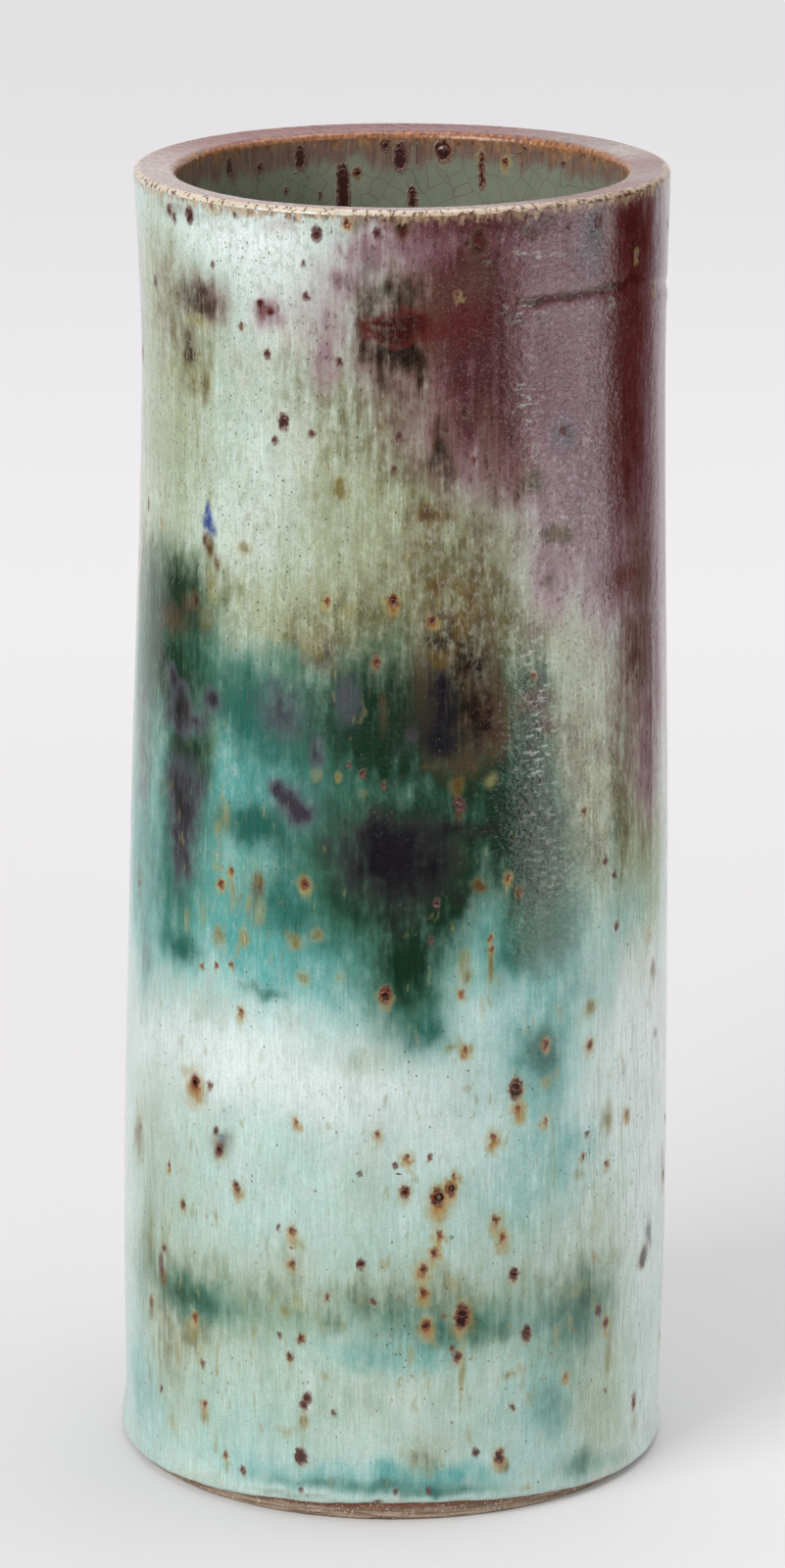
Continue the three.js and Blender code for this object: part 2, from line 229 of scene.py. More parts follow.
washes = {
    "chalk": {
        "middleFall": (318, 490, 32, 84, 0.8), "rightSkirt": (634, 1260, 26, 130, 0.8),
        "lowRight": (500, 1190, 80, 60, 0.5), "lowMiddleRight": (480, 1420, 70, 44, 0.6),
        "bellyFar": (440, 1160, 80, 40, 0.35), "underArm": (500, 1040, 40, 34, 0.8),
        # the chalk under the crease is a painted highlight on the ridge below it
        "rightAqua": (596, 1200, 60, 90, 0.9), "paintedHighlightUnderCrease": (560, 322, 26, 10, 0.4),
        "underLip": (250, 244, 80, 30, 0.8), "shoulder": (275, 300, 55, 46, 0.6),
        "whiteFall": (265, 410, 30, 80, 0.4), "whiteFallLow": (262, 540, 34, 60, 0.5),
        "besideRed": (352, 320, 22, 34, 0.45), "underMauve": (395, 262, 40, 26, 0.45),
        "middle": (350, 548, 30, 60, 0.35), "rightOfMiddle": (505, 570, 30, 50, 0.2),
        # the chalk at the top of the side light's band is a painted reflection
        "lilacStreak": (556, 265, 40, 5, 0.35), "paintedReflectionTop": (590, 655, 34, 30, 0.6),
        "brightBand": (240, 760, 30, 12, 0.45), "brightBandLow": (240, 872, 34, 14, 0.35),
        "belly": (220, 1078, 84, 40, 1), "bellyMiddle": (350, 1115, 100, 44, 0.9),
        "bellyLeft": (170, 1150, 30, 70, 0.4), "bellyLow": (250, 1228, 60, 44, 0.35),
        "bellyRight": (470, 1150, 50, 40, 0.3), "clusterField": (380, 1230, 60, 50, 0.45),
        "lowPatch": (340, 1415, 76, 40, 0.8), "lowPatchRight": (420, 1412, 28, 24, 0.5),
        "lowDab": (490, 1492, 22, 14, 0.5), "leftLow": (190, 1400, 40, 40, 0.35),
        "flank": (655, 1180, 34, 210, 0.9), "flankFoot": (664, 1420, 26, 80, 0.6),
        "flankTop": (650, 1000, 24, 60, 0.6), "edgeLeft": (150, 1060, 12, 60, 0.5)},
    "celadon": {
        "speckledBase": (590, 900, 44, 60, 0.8), "bandGround": (260, 1335, 60, 30, 0.6),
        "leftSkirt": (165, 1250, 30, 160, 0.45), "rightSkirt": (640, 1250, 26, 200, 0.15),
        "lowWash": (400, 1420, 280, 90, 0.6), "bellyWash": (400, 1200, 260, 130, 0.3),
        "beige": (430, 570, 100, 90, 0.9), "leftShoulder": (172, 430, 44, 150, 0.95),
        "leftTop": (160, 300, 16, 60, 0.6), "middle": (330, 470, 60, 90, 0.4),
        "middleRight": (410, 560, 90, 90, 0.8), "underMiddle": (400, 640, 150, 40, 0.8),
        # the celadon band and its top, where the side light reflects, are pale glaze and partly a painted
        # reflection
        "leftSpeckled": (280, 640, 50, 50, 0.7), "band": (600, 770, 36, 100, 1),
        "bandTop": (590, 650, 30, 50, 0.8), "rightEdge": (662, 880, 26, 90, 1),
        "creamA": (375, 1082, 24, 14, 0.5), "creamB": (370, 1220, 30, 34, 0.35),
        "creamC": (550, 1230, 50, 60, 0.4), "creamD": (618, 1250, 16, 140, 0.25),
        "lowLeft": (180, 1400, 34, 60, 0.4), "rightFoot": (618, 1440, 22, 60, 0.7),
        "gapInViolet": (190, 764, 16, 12, 0.4)},
    "turquoise": {
        "leftEdgeTop": (150, 700, 14, 60, 0.7), "leftBand": (225, 800, 70, 80, 1),
        "middleBand": (330, 800, 90, 50, 1), "leftLow": (225, 930, 80, 70, 1),
        "middleLow": (320, 960, 90, 60, 0.9), "besideBlack": (405, 780, 26, 28, 0.9),
        "rightLow": (520, 945, 66, 60, 0.8), "rightArm": (575, 1005, 46, 50, 0.6),
        "fall": (555, 1085, 34, 56, 0.65), "belowTongue": (470, 1056, 44, 26, 0.4),
        "underPatch": (500, 1110, 60, 30, 0.25), "bellyVeil": (420, 1230, 260, 130, 0.42),
        "bellyVeilRight": (540, 1210, 50, 60, 0.4), "footVeil": (380, 1420, 300, 90, 0.25),
        "lowAqua": (545, 1440, 40, 50, 0.35), "lowLeftAqua": (240, 1440, 60, 50, 0.15),
        "leftEdgeLow": (145, 1420, 14, 60, 0.5), "underBand": (400, 1385, 80, 16, 0.5),
        "footBlue": (350, 1506, 120, 16, 0.6), "footBlueRight": (440, 1510, 70, 16, 0.6),
        "leftEdge": (150, 860, 18, 110, 1), "spotA": (345, 470, 10, 30, 0.15),
        "shoulderLeft": (160, 570, 18, 24, 0.5), "rightAqua": (640, 930, 26, 40, 0.5),
        "underRight": (585, 1170, 30, 30, 0.35)},
    "olive": {
        "besideBlackLow": (500, 752, 30, 26, 0.9), "underBandDab": (502, 1367, 24, 12, 0.6),
        "leftRunTop": (238, 598, 18, 26, 0.5), "combs": (400, 430, 44, 50, 0.5),
        "whiteDirt": (300, 300, 70, 60, 0.2), "tealStainRight": (520, 860, 50, 40, 0.4),
        "tealStain": (250, 900, 60, 40, 0.3), "topLeft": (180, 290, 30, 40, 0.35),
        "speckledGreen": (590, 885, 44, 50, 0.8), "bandUnder": (400, 1335, 150, 24, 0.6),
        "middleStain": (350, 410, 44, 60, 0.6), "leftMiddleStain": (290, 380, 40, 50, 0.4),
        "rightSkirt": (630, 1300, 20, 160, 0.1), "leftLowHairs": (160, 1330, 20, 90, 0.4),
        "lowHairs": (300, 1400, 200, 50, 0.25), "bellyHairs": (420, 1290, 240, 60, 0.3),
        "whiteStain": (330, 480, 80, 90, 0.2), "leftStain": (185, 350, 34, 70, 0.5),
        "speckledLow": (300, 670, 60, 26, 0.5), "rightCombLow": (650, 800, 22, 60, 0.5),
        "rightComb": (648, 690, 26, 90, 0.85), "bandGreen": (595, 770, 30, 70, 0.6),
        "underInk": (480, 785, 50, 44, 0.6), "besideInk": (505, 700, 50, 60, 1),
        "underMauve": (420, 440, 60, 60, 0.35), "beigeLow": (430, 640, 110, 40, 0.75),
        "beigeField": (430, 560, 90, 80, 0.55), "leftEdgeMiddle": (147, 740, 8, 70, 0.6),
        "leftEdgeDark": (149, 600, 10, 60, 0.7), "leftTopDark": (172, 598, 38, 50, 1),
        "leftRun": (205, 350, 13, 26, 0.6), "leftRunLow": (200, 385, 8, 20, 0.6),
        "leftHair": (204, 450, 8, 40, 0.4), "middleTop": (385, 390, 9, 30, 0.8),
        "middleRun": (430, 470, 24, 50, 0.7), "middleRunLow": (455, 575, 16, 26, 0.9),
        "field": (480, 600, 40, 44, 0.7), "leftOfBlack": (390, 640, 26, 26, 0.5),
        "besideBlack": (500, 690, 24, 50, 0.8), "greenPatch": (548, 752, 30, 26, 0.9),
        "greenPatchLow": (552, 815, 34, 44, 1), "tornEdge": (545, 650, 14, 26, 0.7),
        "leftTop": (180, 625, 34, 34, 0.7), "leftGap": (190, 764, 15, 15, 0.9),
        "leftGapRight": (217, 752, 8, 24, 0.7), "speckled": (325, 650, 24, 36, 0.6),
        "rightStripe": (634, 800, 9, 90, 0.7), "rightLower": (655, 850, 20, 50, 0.4),
        "leftDrip": (262, 915, 8, 26, 0.8), "tongueRun": (473, 910, 8, 20, 0.7),
        "tongueDab": (410, 1006, 10, 18, 0.8), "leftEdgeLow": (143, 1155, 6, 30, 0.7),
        "bandLeft": (192, 1325, 34, 36, 0.9), "bandLeftRun": (195, 1358, 8, 14, 0.8),
        "bandMiddle": (339, 1349, 9, 9, 0.9), "bandRight": (592, 1335, 38, 60, 0.7),
        "underDark": (474, 1352, 18, 20, 0.8), "dabA": (508, 1356, 4, 10, 0.6),
        "dabB": (455, 1300, 8, 18, 0.4), "dabC": (300, 1290, 14, 24, 0.35), "stain": (428, 1490, 20, 20, 0.6),
        "stainRight": (598, 1490, 14, 12, 0.6), "greyStain": (225, 1166, 13, 16, 0.6),
        "dripsLeft": (228, 834, 8, 20, 0.6), "hairRight": (560, 1180, 8, 60, 0.3),
        "leftFootHair": (175, 1380, 14, 50, 0.35), "rightFootHair": (600, 1440, 20, 40, 0.35)},
    "teal": {
        "footEdgeFar": (600, 1500, 50, 12, 0.5), "speckledTop": (305, 668, 40, 16, 0.5),
        "leftEdgeFoot": (150, 995, 10, 44, 0.45), "leftUnder": (288, 932, 34, 24, 0.6),
        "leftGlow": (262, 846, 44, 24, 1), "speckledRight": (568, 930, 24, 30, 0.5),
        "rightArm": (600, 1010, 34, 40, 0.35), "middleLeft": (290, 760, 50, 60, 0.7),
        "between": (242, 702, 34, 22, 0.45), "leftEdgeTop": (152, 690, 14, 80, 0.8),
        "leftTop": (178, 665, 40, 50, 1), "leftMiddle": (250, 725, 60, 40, 0.9),
        "middle": (350, 750, 60, 50, 1), "middleLow": (350, 850, 50, 60, 0.9), "right": (480, 810, 60, 50, 1),
        "rightOfInk": (530, 850, 40, 60, 0.9), "leftColumn": (180, 890, 30, 70, 0.8),
        "leftBelow": (185, 965, 20, 16, 0.8), "middleBelow": (345, 940, 50, 50, 0.8),
        "undersideLeft": (270, 925, 50, 24, 0.3), "dab": (270, 1013, 24, 9, 0.7),
        "tongue": (412, 1010, 46, 60, 1), "tongueTip": (424, 1056, 22, 18, 0.75),
        "rightPatch": (555, 945, 46, 44, 0.9), "rightPatchLow": (540, 990, 30, 20, 0.4),
        "smallPatch": (553, 1070, 20, 28, 0.9), "strip": (628, 880, 6, 60, 0.4),
        "bandLeft": (198, 1322, 40, 30, 0.75), "bandLeftFade": (280, 1340, 70, 24, 0.1),
        "bandMiddle": (400, 1350, 120, 34, 0.5), "bandMiddleRight": (470, 1362, 50, 18, 0.7),
        "bandRight": (590, 1345, 54, 56, 0.75), "lowRight": (560, 1440, 20, 34, 0.6),
        "lowRightFoot": (590, 1490, 20, 14, 0.6), "lowMiddle": (300, 900, 40, 50, 0.35),
        "footEdge": (370, 1517, 110, 9, 0.75), "footEdgeRight": (450, 1524, 60, 6, 0.7),
        "leftEdge": (150, 900, 12, 80, 0.55), "leftEdgeLow": (143, 1310, 8, 60, 0.35),
        "fallMiddle": (552, 1100, 26, 50, 0.5)},
    "mauve": {
        "besideTop": (372, 262, 24, 24, 0.5), "band": (650, 590, 30, 22, 0.8),
        "leftEdge": (146, 300, 6, 60, 0.4), "stainC": (335, 335, 40, 40, 0.45),
        "stainB": (250, 360, 30, 30, 0.15), "stainA": (300, 300, 40, 40, 0.18),
        "top": (450, 248, 60, 28, 0.6), "upperRight": (560, 260, 76, 60, 1), "middle": (505, 360, 76, 80, 1),
        "low": (500, 450, 50, 40, 0.9), "right": (585, 390, 56, 110, 1), "rightLow": (600, 530, 40, 60, 0.7),
        "tornLow": (560, 590, 16, 30, 0.6), "farRight": (660, 400, 30, 200, 1),
        "rightFade": (662, 690, 14, 90, 0.7), "rightTail": (662, 790, 10, 30, 0.5),
        "middleLow": (395, 390, 26, 34, 0.35), "brownPatch": (211, 304, 18, 18, 0.6),
        "heartHalo": (272, 316, 15, 14, 0.6), "streak": (328, 380, 12, 26, 0.45),
        "besideWhite": (352, 292, 16, 12, 0.5), "faintA": (277, 478, 9, 16, 0.3),
        "faintB": (283, 232, 18, 8, 0.35), "greyRight": (450, 600, 8, 12, 0.2),
        "faintC": (376, 1225, 30, 30, 0.16), "faintD": (430, 1330, 30, 20, 0.12)},
    "crimson": {
        "bandTop": (580, 250, 40, 40, 0.45), "top": (420, 230, 46, 14, 0.5),
        "upperRight": (500, 232, 60, 16, 0.75), "maroon": (486, 290, 46, 36, 1),
        "flank": (470, 335, 60, 34, 1), "middle": (490, 390, 50, 44, 0.95), "low": (490, 440, 40, 36, 0.7),
        "besideVeil": (530, 460, 14, 60, 0.6), "topBand": (545, 228, 50, 10, 0.5),
        "band": (580, 400, 40, 110, 0.4), "right": (638, 330, 20, 130, 1),
        "rightLow": (640, 500, 20, 46, 0.6), "patchRight": (640, 586, 22, 18, 0.7),
        "patchRightLow": (652, 650, 12, 30, 0.4), "rightTail": (664, 740, 8, 20, 0.3),
        "streakHeart": (325, 378, 6, 20, 0.35), "runRight": (445, 440, 6, 26, 0.5),
        "heart": (270, 314, 10, 8, 0.7)},
    "bottle": {
        "blackSideLow": (398, 736, 42, 36, 1), "speckledRight": (580, 885, 34, 40, 0.5),
        "besideBlackRight": (500, 718, 36, 36, 0.8), "rightMiddle": (548, 895, 24, 40, 0.75),
        "rightTop": (548, 712, 18, 34, 0.9), "underBig": (462, 908, 28, 40, 1),
        "aboveBig": (414, 838, 34, 20, 1), "leftEdgeMiddle": (150, 775, 14, 50, 0.5),
        "leftColumn": (192, 770, 18, 66, 0.9), "blackSide": (404, 726, 50, 46, 1),
        "columnLow": (180, 940, 20, 30, 0.25), "betweenTop": (290, 700, 50, 20, 0.4),
        "leftTop": (180, 605, 38, 50, 1), "leftLow": (178, 690, 36, 50, 0.85),
        "middle": (390, 730, 60, 56, 1), "underOlive": (485, 775, 64, 66, 1),
        "middleLeft": (320, 740, 30, 40, 0.6), "leftGap": (212, 765, 10, 30, 0.5),
        "aroundInk": (405, 880, 84, 60, 0.95), "besideInk": (358, 850, 24, 40, 0.4),
        "rightOfInk": (535, 840, 40, 40, 0.95), "rightLow": (545, 790, 20, 40, 0.7),
        "tongue": (410, 975, 40, 54, 1), "tongueLow": (415, 1018, 18, 24, 0.6),
        "leftOfTongue": (358, 930, 24, 28, 0.5), "column": (190, 850, 26, 70, 0.7),
        "speckledTop": (560, 840, 20, 20, 0.6), "tealPatch": (550, 958, 26, 26, 0.5),
        "smallPatch": (556, 1064, 8, 12, 0.6), "bandLeft": (190, 1320, 26, 20, 0.8),
        "bandRight": (598, 1325, 24, 26, 0.7), "bandMiddle": (345, 1356, 14, 10, 0.5),
        "underDark": (476, 1356, 16, 12, 0.7), "leftEdge": (152, 640, 12, 60, 0.55),
        "footSpots": (300, 1524, 50, 4, 0.5)},
    "slate": {
        "big": (398, 872, 52, 40, 0.6), "diagonalHalo": (300, 820, 28, 26, 0.45),
        "triangleTip": (179, 690, 4, 12, 1), "triangle": (186, 714, 10, 16, 1),
        "triangleBase": (189, 735, 20, 13, 1), "besideTriangle": (218, 716, 9, 15, 0.95),
        "column": (190, 812, 17, 34, 1), "columnLow": (188, 862, 13, 36, 0.85),
        "roundViolet": (283, 724, 24, 26, 0.75), "streak": (323, 770, 7, 18, 0.9),
        "diagonalTop": (280, 803, 8, 9, 0.9), "diagonal": (290, 818, 10, 10, 0.9),
        "diagonalLow": (305, 836, 14, 14, 0.95), "besideRound": (352, 715, 14, 26, 0.6),
        "leftEdge": (148, 712, 7, 20, 0.7), "leftEdgeLow": (146, 790, 7, 40, 0.6),
        "inBlack": (421, 747, 7, 8, 0.8), "inBlackRight": (502, 734, 7, 9, 0.6),
        "greyStain": (226, 1168, 11, 12, 0.6), "lipStain": (608, 245, 14, 34, 0.8),
        "lipStainLow": (632, 285, 9, 8, 0.5), "greyStreak": (487, 548, 4, 12, 0.5),
        "greyStreakTop": (499, 470, 4, 14, 0.5), "bandGrey": (575, 438, 15, 17, 0.8),
        "aboveRed": (380, 282, 12, 16, 0.4), "besideWhite": (356, 292, 20, 14, 0.35),
        "rightPlum": (664, 1258, 4, 20, 0.7), "edgeRight": (678, 1188, 3, 24, 0.6),
        "leftStripLow": (150, 980, 8, 16, 0.4)},
    "umber": {
        "blackBed": (462, 722, 28, 52, 0.85), "besideBlackRight": (498, 728, 32, 38, 0.4),
        "lipDab": (370, 228, 14, 10, 0.6), "lipLeftRight": (240, 216, 20, 5, 0.35),
        "lipLeft": (185, 214, 26, 8, 0.5), "topLeftSmudge": (208, 300, 22, 22, 0.4),
        "redAround": (400, 340, 44, 50, 0.5), "stainLeft": (290, 390, 30, 40, 0.2),
        "leftDark": (178, 628, 18, 24, 0.5), "speckledStain": (330, 660, 24, 24, 0.5),
        "aboveBlack": (460, 650, 30, 20, 0.6), "rightCombTop": (655, 560, 16, 60, 0.4),
        "rightComb": (650, 680, 22, 80, 0.55), "leftComb": (175, 320, 24, 70, 0.5),
        "combF": (530, 540, 10, 60, 0.45), "combE": (490, 570, 20, 60, 0.55),
        "combD": (425, 560, 20, 60, 0.45), "combC": (500, 470, 14, 60, 0.5), "combB": (455, 480, 14, 60, 0.6),
        "combA": (400, 425, 26, 50, 0.5), "brownPatch": (205, 306, 20, 18, 0.7),
        "patchRun": (196, 360, 6, 22, 0.7), "spindle": (211, 396, 4, 16, 0.9),
        "haloOverRed": (410, 308, 44, 26, 0.6), "besideRed": (370, 338, 10, 24, 0.6),
        "underRed": (408, 360, 28, 15, 0.95), "runLeft": (387, 388, 7, 20, 0.5),
        "runRight": (432, 392, 8, 22, 0.75), "lipDark": (390, 222, 14, 8, 0.95),
        "lipMaroon": (414, 232, 10, 12, 0.9), "lipLine": (455, 221, 44, 4, 0.85),
        "lipLineLeft": (340, 220, 20, 3, 0.4), "oval": (490, 251, 8, 13, 1),
        "maroonField": (495, 290, 24, 20, 0.4), "crossing": (448, 446, 5, 26, 0.6),
        "crossingLow": (438, 476, 12, 10, 0.45), "bandTop": (541, 491, 14, 12, 0.9),
        "bandPatch": (571, 546, 20, 13, 1), "bandSpot": (560, 594, 8, 8, 0.7),
        "blackFringe": (452, 676, 18, 13, 0.8), "aroundBlack": (474, 705, 30, 54, 0.5),
        "aroundBlackRight": (500, 750, 22, 18, 0.3), "olivePatch": (492, 700, 16, 34, 0.5),
        "bandRed": (550, 712, 18, 10, 0.9), "bandRedLow": (562, 740, 8, 12, 0.8),
        "leftStain": (200, 612, 7, 9, 0.7), "leftDrip": (390, 725, 5, 24, 0.5),
        "leftDripTop": (384, 677, 4, 9, 0.8), "speckled": (325, 664, 13, 20, 0.6),
        "reddishInk": (470, 880, 12, 22, 0.25), "underCrater": (469, 834, 5, 8, 0.8),
        "leftDrop": (264, 905, 7, 12, 0.7), "plum": (658, 1281, 5, 10, 1),
        "tallLeft": (166, 1292, 5, 18, 0.6), "bigDark": (471, 1343, 7, 11, 0.9),
        "greyStain": (223, 1174, 6, 7, 0.6), "rightLow": (647, 1431, 3, 10, 0.8),
        "rustFoot": (556, 1066, 5, 8, 0.7), "leftEdge": (147, 340, 2, 34, 0.5),
        "leftEdgeRed": (144, 900, 2, 18, 0.6), "rightEdgeA": (669, 991, 3, 13, 0.8),
        "rightEdgeB": (671, 1055, 2, 6, 0.7), "flankHairA": (650, 1215, 2, 30, 0.35),
        "flankHairB": (668, 1100, 2, 40, 0.3), "flankHairC": (638, 1330, 2, 30, 0.35)},
    "oxblood": {
        "redPatch": (404, 334, 30, 12, 1), "redPatchRight": (424, 328, 10, 6, 0.8),
        "redPatchLow": (400, 346, 22, 8, 0.9), "column": (643, 330, 22, 130, 0.55),
        "columnLow": (640, 440, 15, 60, 0.45), "columnTop": (642, 236, 18, 34, 0.6),
        "crease": (585, 301, 44, 5, 1), "creaseLeft": (545, 309, 14, 6, 1),
        "creaseRight": (628, 293, 20, 4, 0.9), "heartA": (265, 308, 4, 4, 0.9),
        "heartB": (276, 318, 4, 4, 0.9), "lipMaroon": (414, 236, 6, 6, 0.5),
        "ovalHeart": (490, 250, 5, 9, 0.6), "besideVeil": (528, 480, 6, 40, 0.4),
        "patchRight": (640, 588, 12, 10, 0.4), "cobaltRun": (213, 552, 4, 9, 0.8),
        "leftRed": (164, 1290, 3, 14, 0.6), "flank": (470, 330, 40, 22, 0.45)},
    "ink": {
        "blackWide": (432, 726, 36, 38, 0.5), "bigTop": (398, 848, 28, 14, 0.5),
        "blackTall": (454, 706, 13, 34, 0.85), "blackLow": (450, 755, 19, 20, 0.8),
        "blackRight": (484, 760, 14, 14, 0.4), "triangleHeart": (188, 724, 10, 14, 0.6),
        "columnHeart": (189, 812, 11, 26, 0.55), "big": (396, 872, 43, 33, 0.95),
        "bigLow": (402, 910, 24, 24, 0.6), "bigRight": (445, 885, 22, 28, 0.45),
        "arm": (478, 848, 28, 9, 0.65), "armTip": (507, 842, 10, 10, 0.35),
        "haloOverRed": (412, 302, 26, 14, 0.35), "smallLeft": (218, 716, 5, 8, 0.5),
        "lipDark": (388, 222, 9, 4, 0.6), "runUnder": (468, 915, 8, 14, 0.5),
        "underTongue": (405, 945, 18, 20, 0.4), "bigDarkHeart": (471, 1342, 3, 6, 0.7)},
    "ochre": {
        "leftRun": (203, 328, 14, 7, 0.8), "leftRunLow": (198, 378, 9, 12, 0.6),
        "spindleHalo": (211, 398, 8, 16, 0.5), "ring": (347, 500, 10, 13, 0.9),
        "spotA": (253, 558, 8, 8, 0.9), "spotB": (271, 536, 7, 10, 0.4),
        "leftEdgeSpot": (167, 535, 4, 8, 0.9), "cobaltTail": (220, 598, 7, 20, 0.7),
        "faintRun": (400, 518, 5, 13, 0.5), "runA": (318, 590, 6, 16, 0.6), "runB": (332, 616, 6, 7, 0.7),
        "runC": (371, 578, 6, 10, 0.4), "blotchUnder": (357, 621, 9, 9, 0.6),
        "speckled": (320, 656, 12, 18, 0.6), "underStreak": (321, 792, 6, 7, 0.7),
        "dripsA": (232, 830, 4, 16, 0.6), "dripsB": (224, 848, 4, 10, 0.6), "dripC": (345, 792, 4, 6, 0.7),
        "dripD": (369, 811, 6, 7, 0.5), "bandOlive": (503, 798, 8, 9, 0.6), "dropA": (226, 905, 5, 8, 0.8),
        "dropB": (239, 912, 4, 20, 0.7), "dropC": (311, 905, 8, 10, 0.8), "dropD": (266, 930, 6, 14, 0.7),
        "inTealA": (224, 958, 6, 13, 0.9), "inTealB": (251, 957, 6, 9, 0.8), "inTealC": (303, 960, 9, 9, 0.8),
        "inTealD": (324, 953, 7, 9, 0.8), "inTealE": (310, 996, 9, 7, 0.8), "inTealF": (348, 997, 6, 7, 0.7),
        "threadA": (192, 938, 3, 14, 0.6), "threadB": (209, 932, 3, 18, 0.6),
        "tailA": (247, 1042, 4, 10, 0.6), "creamRough": (210, 1037, 12, 9, 0.3),
        "creamRoughB": (229, 1042, 5, 14, 0.4), "tongueRunA": (474, 988, 8, 20, 0.8),
        "tongueRunB": (501, 984, 4, 26, 0.8), "tongueRunC": (492, 1030, 4, 18, 0.5),
        "patchE": (460, 1068, 7, 6, 0.7), "patchF": (477, 1068, 7, 9, 0.8), "patchG": (475, 1110, 5, 5, 0.6),
        "rightA": (601, 1029, 7, 9, 0.8), "rightB": (571, 1032, 4, 12, 0.5), "rightC": (663, 957, 4, 11, 0.6),
        "ovalTail": (530, 1140, 6, 13, 0.8), "patchH": (556, 1106, 7, 8, 0.6),
        "paleRunA": (621, 1145, 6, 18, 0.9), "paleRunB": (641, 1138, 4, 10, 0.8),
        "paleRunC": (591, 1201, 7, 8, 0.7), "paleRunD": (610, 1240, 8, 50, 0.35),
        "clusterArc": (447, 1240, 8, 16, 0.7), "clusterSide": (428, 1262, 6, 30, 0.25),
        "tanDab": (458, 1310, 7, 9, 0.6), "overBig": (190, 1090, 4, 9, 0.6), "lowA": (304, 1268, 9, 8, 0.7),
        "lowB": (306, 1328, 6, 8, 0.6), "lowC": (289, 1336, 6, 9, 0.6), "leftTail": (197, 1356, 8, 12, 0.7),
        "smearA": (260, 1360, 3, 9, 0.6), "smearB": (175, 1450, 6, 11, 0.6),
        "smearC": (261, 1432, 3, 14, 0.6), "smearD": (331, 1403, 5, 6, 0.6), "smearE": (209, 1442, 5, 9, 0.8),
        "runLow": (310, 1447, 6, 11, 0.9), "runBranch": (293, 1458, 13, 6, 0.7),
        "darkTail": (470, 1402, 4, 20, 0.7), "dabRight": (520, 1404, 8, 5, 0.9),
        "dabRightB": (577, 1407, 4, 9, 0.6), "streamRight": (622, 1380, 3, 30, 0.7),
        "flankLow": (647, 1456, 3, 14, 0.6), "footDab": (535, 1517, 8, 4, 0.7),
        "footDabB": (407, 1484, 6, 6, 0.5), "rightCream": (626, 1400, 12, 70, 0.3),
        "footCream": (210, 1508, 34, 8, 0.35), "smearF": (231, 1495, 3, 10, 0.6),
        "ringTan": (590, 1316, 12, 9, 0.5), "bandField": (560, 900, 12, 10, 0.3),
        "rightUnder": (655, 1000, 10, 30, 0.3)},
    "amber": {
        "bandTop": (541, 491, 8, 7, 0.5), "bandPatch": (571, 546, 12, 8, 0.7),
        "leftBlotch": (434, 526, 9, 11, 0.95), "rightBlotch": (457, 526, 12, 8, 0.75),
        "bar": (451, 601, 15, 9, 0.85), "barRight": (479, 620, 10, 20, 0.85),
        "barFoot": (474, 645, 10, 10, 0.5), "underDark": (401, 625, 6, 9, 0.8),
        "blackTop": (451, 672, 16, 10, 0.7), "redBrownRun": (217, 560, 5, 12, 0.9),
        "redBrownRunLow": (224, 574, 4, 8, 0.9), "leftStreak": (213, 631, 8, 14, 0.5),
        "inTeal": (466, 803, 8, 10, 0.85), "dropRed": (311, 901, 5, 6, 0.9),
        "dropLeft": (227, 901, 3, 5, 0.9), "dropTop": (237, 888, 3, 5, 0.8),
        "dropMiddle": (264, 900, 5, 7, 0.7), "inTealC": (298, 955, 5, 6, 0.6),
        "inTealD": (325, 953, 4, 6, 0.7), "rustA": (519, 897, 4, 9, 1), "rustB": (531, 908, 4, 6, 1),
        "rustC": (491, 906, 7, 9, 0.9), "bigHalo": (202, 1113, 10, 13, 0.7),
        "clusterHeart": (449, 1219, 13, 9, 0.5), "bandLeft": (199, 1343, 4, 6, 0.9),
        "bandDark": (434, 1353, 8, 8, 0.8), "bandDarkB": (452, 1341, 4, 5, 0.8),
        "aroundDark": (471, 1345, 8, 13, 0.5), "lowRight": (512, 1495, 6, 8, 0.8),
        "edgeLeft": (154, 1334, 3, 14, 0.8), "leftRed": (167, 1302, 3, 10, 0.6),
        "rightStream": (618, 1350, 3, 9, 0.7), "footChip": (385, 1533, 6, 3, 0.9),
        "edgeDot": (144, 1150, 2, 4, 0.8), "rightEdge": (668, 990, 3, 9, 0.6),
        "flankStreak": (607, 1284, 3, 12, 0.5), "blackFoot": (440, 782, 12, 4, 0.4)},
    "cobalt": {
        "tip": (214, 516, 2, 8, 0.8), "spike": (215, 531, 5, 11, 1), "spikeFoot": (219, 542, 4, 7, 0.8),
        "stain": (226, 1160, 4, 4, 0.6)},
    "peppered": {
        "belly": (400, 1200, 260, 260, 0.12), "teal": (280, 790, 120, 120, 0.4),
        "leftShoulder": (240, 400, 90, 160, 0.5), "leftEdge": (165, 380, 26, 110, 1),
        "whiteFall": (270, 470, 50, 100, 0.35), "speckled": (285, 635, 50, 50, 1),
        "top": (470, 240, 160, 26, 0.6), "mauve": (470, 330, 80, 100, 0.7), "band": (580, 420, 50, 130, 0.7),
        "flank": (590, 885, 40, 50, 0.8), "rightFlank": (655, 1230, 22, 200, 0.3),
        "field": (400, 560, 120, 60, 0.4)},
    # pale flecks painted as glints of the side light on the pebbled glaze, and as highlights on the ridges by
    # the crease
    "paintedGlints": {
        "veilC": (598, 455, 18, 14, 0.4), "veilB": (592, 522, 26, 12, 0.5), "veilA": (540, 412, 14, 16, 0.6),
        "creaseRight": (604, 315, 22, 6, 0.7), "paintedHighlightUnderCrease": (535, 320, 16, 10, 0.7),
        "glintTop": (540, 263, 34, 6, 0.6), "torn": (556, 750, 16, 66, 0.75),
        "tornTop": (540, 650, 14, 30, 0.6), "speckled": (580, 870, 26, 36, 0.35),
        "besideVeil": (545, 450, 10, 100, 0.3)},
    # the pebbled skin, under the side light's reflection band; its pale pocks are painted glints
    "dimpled": {
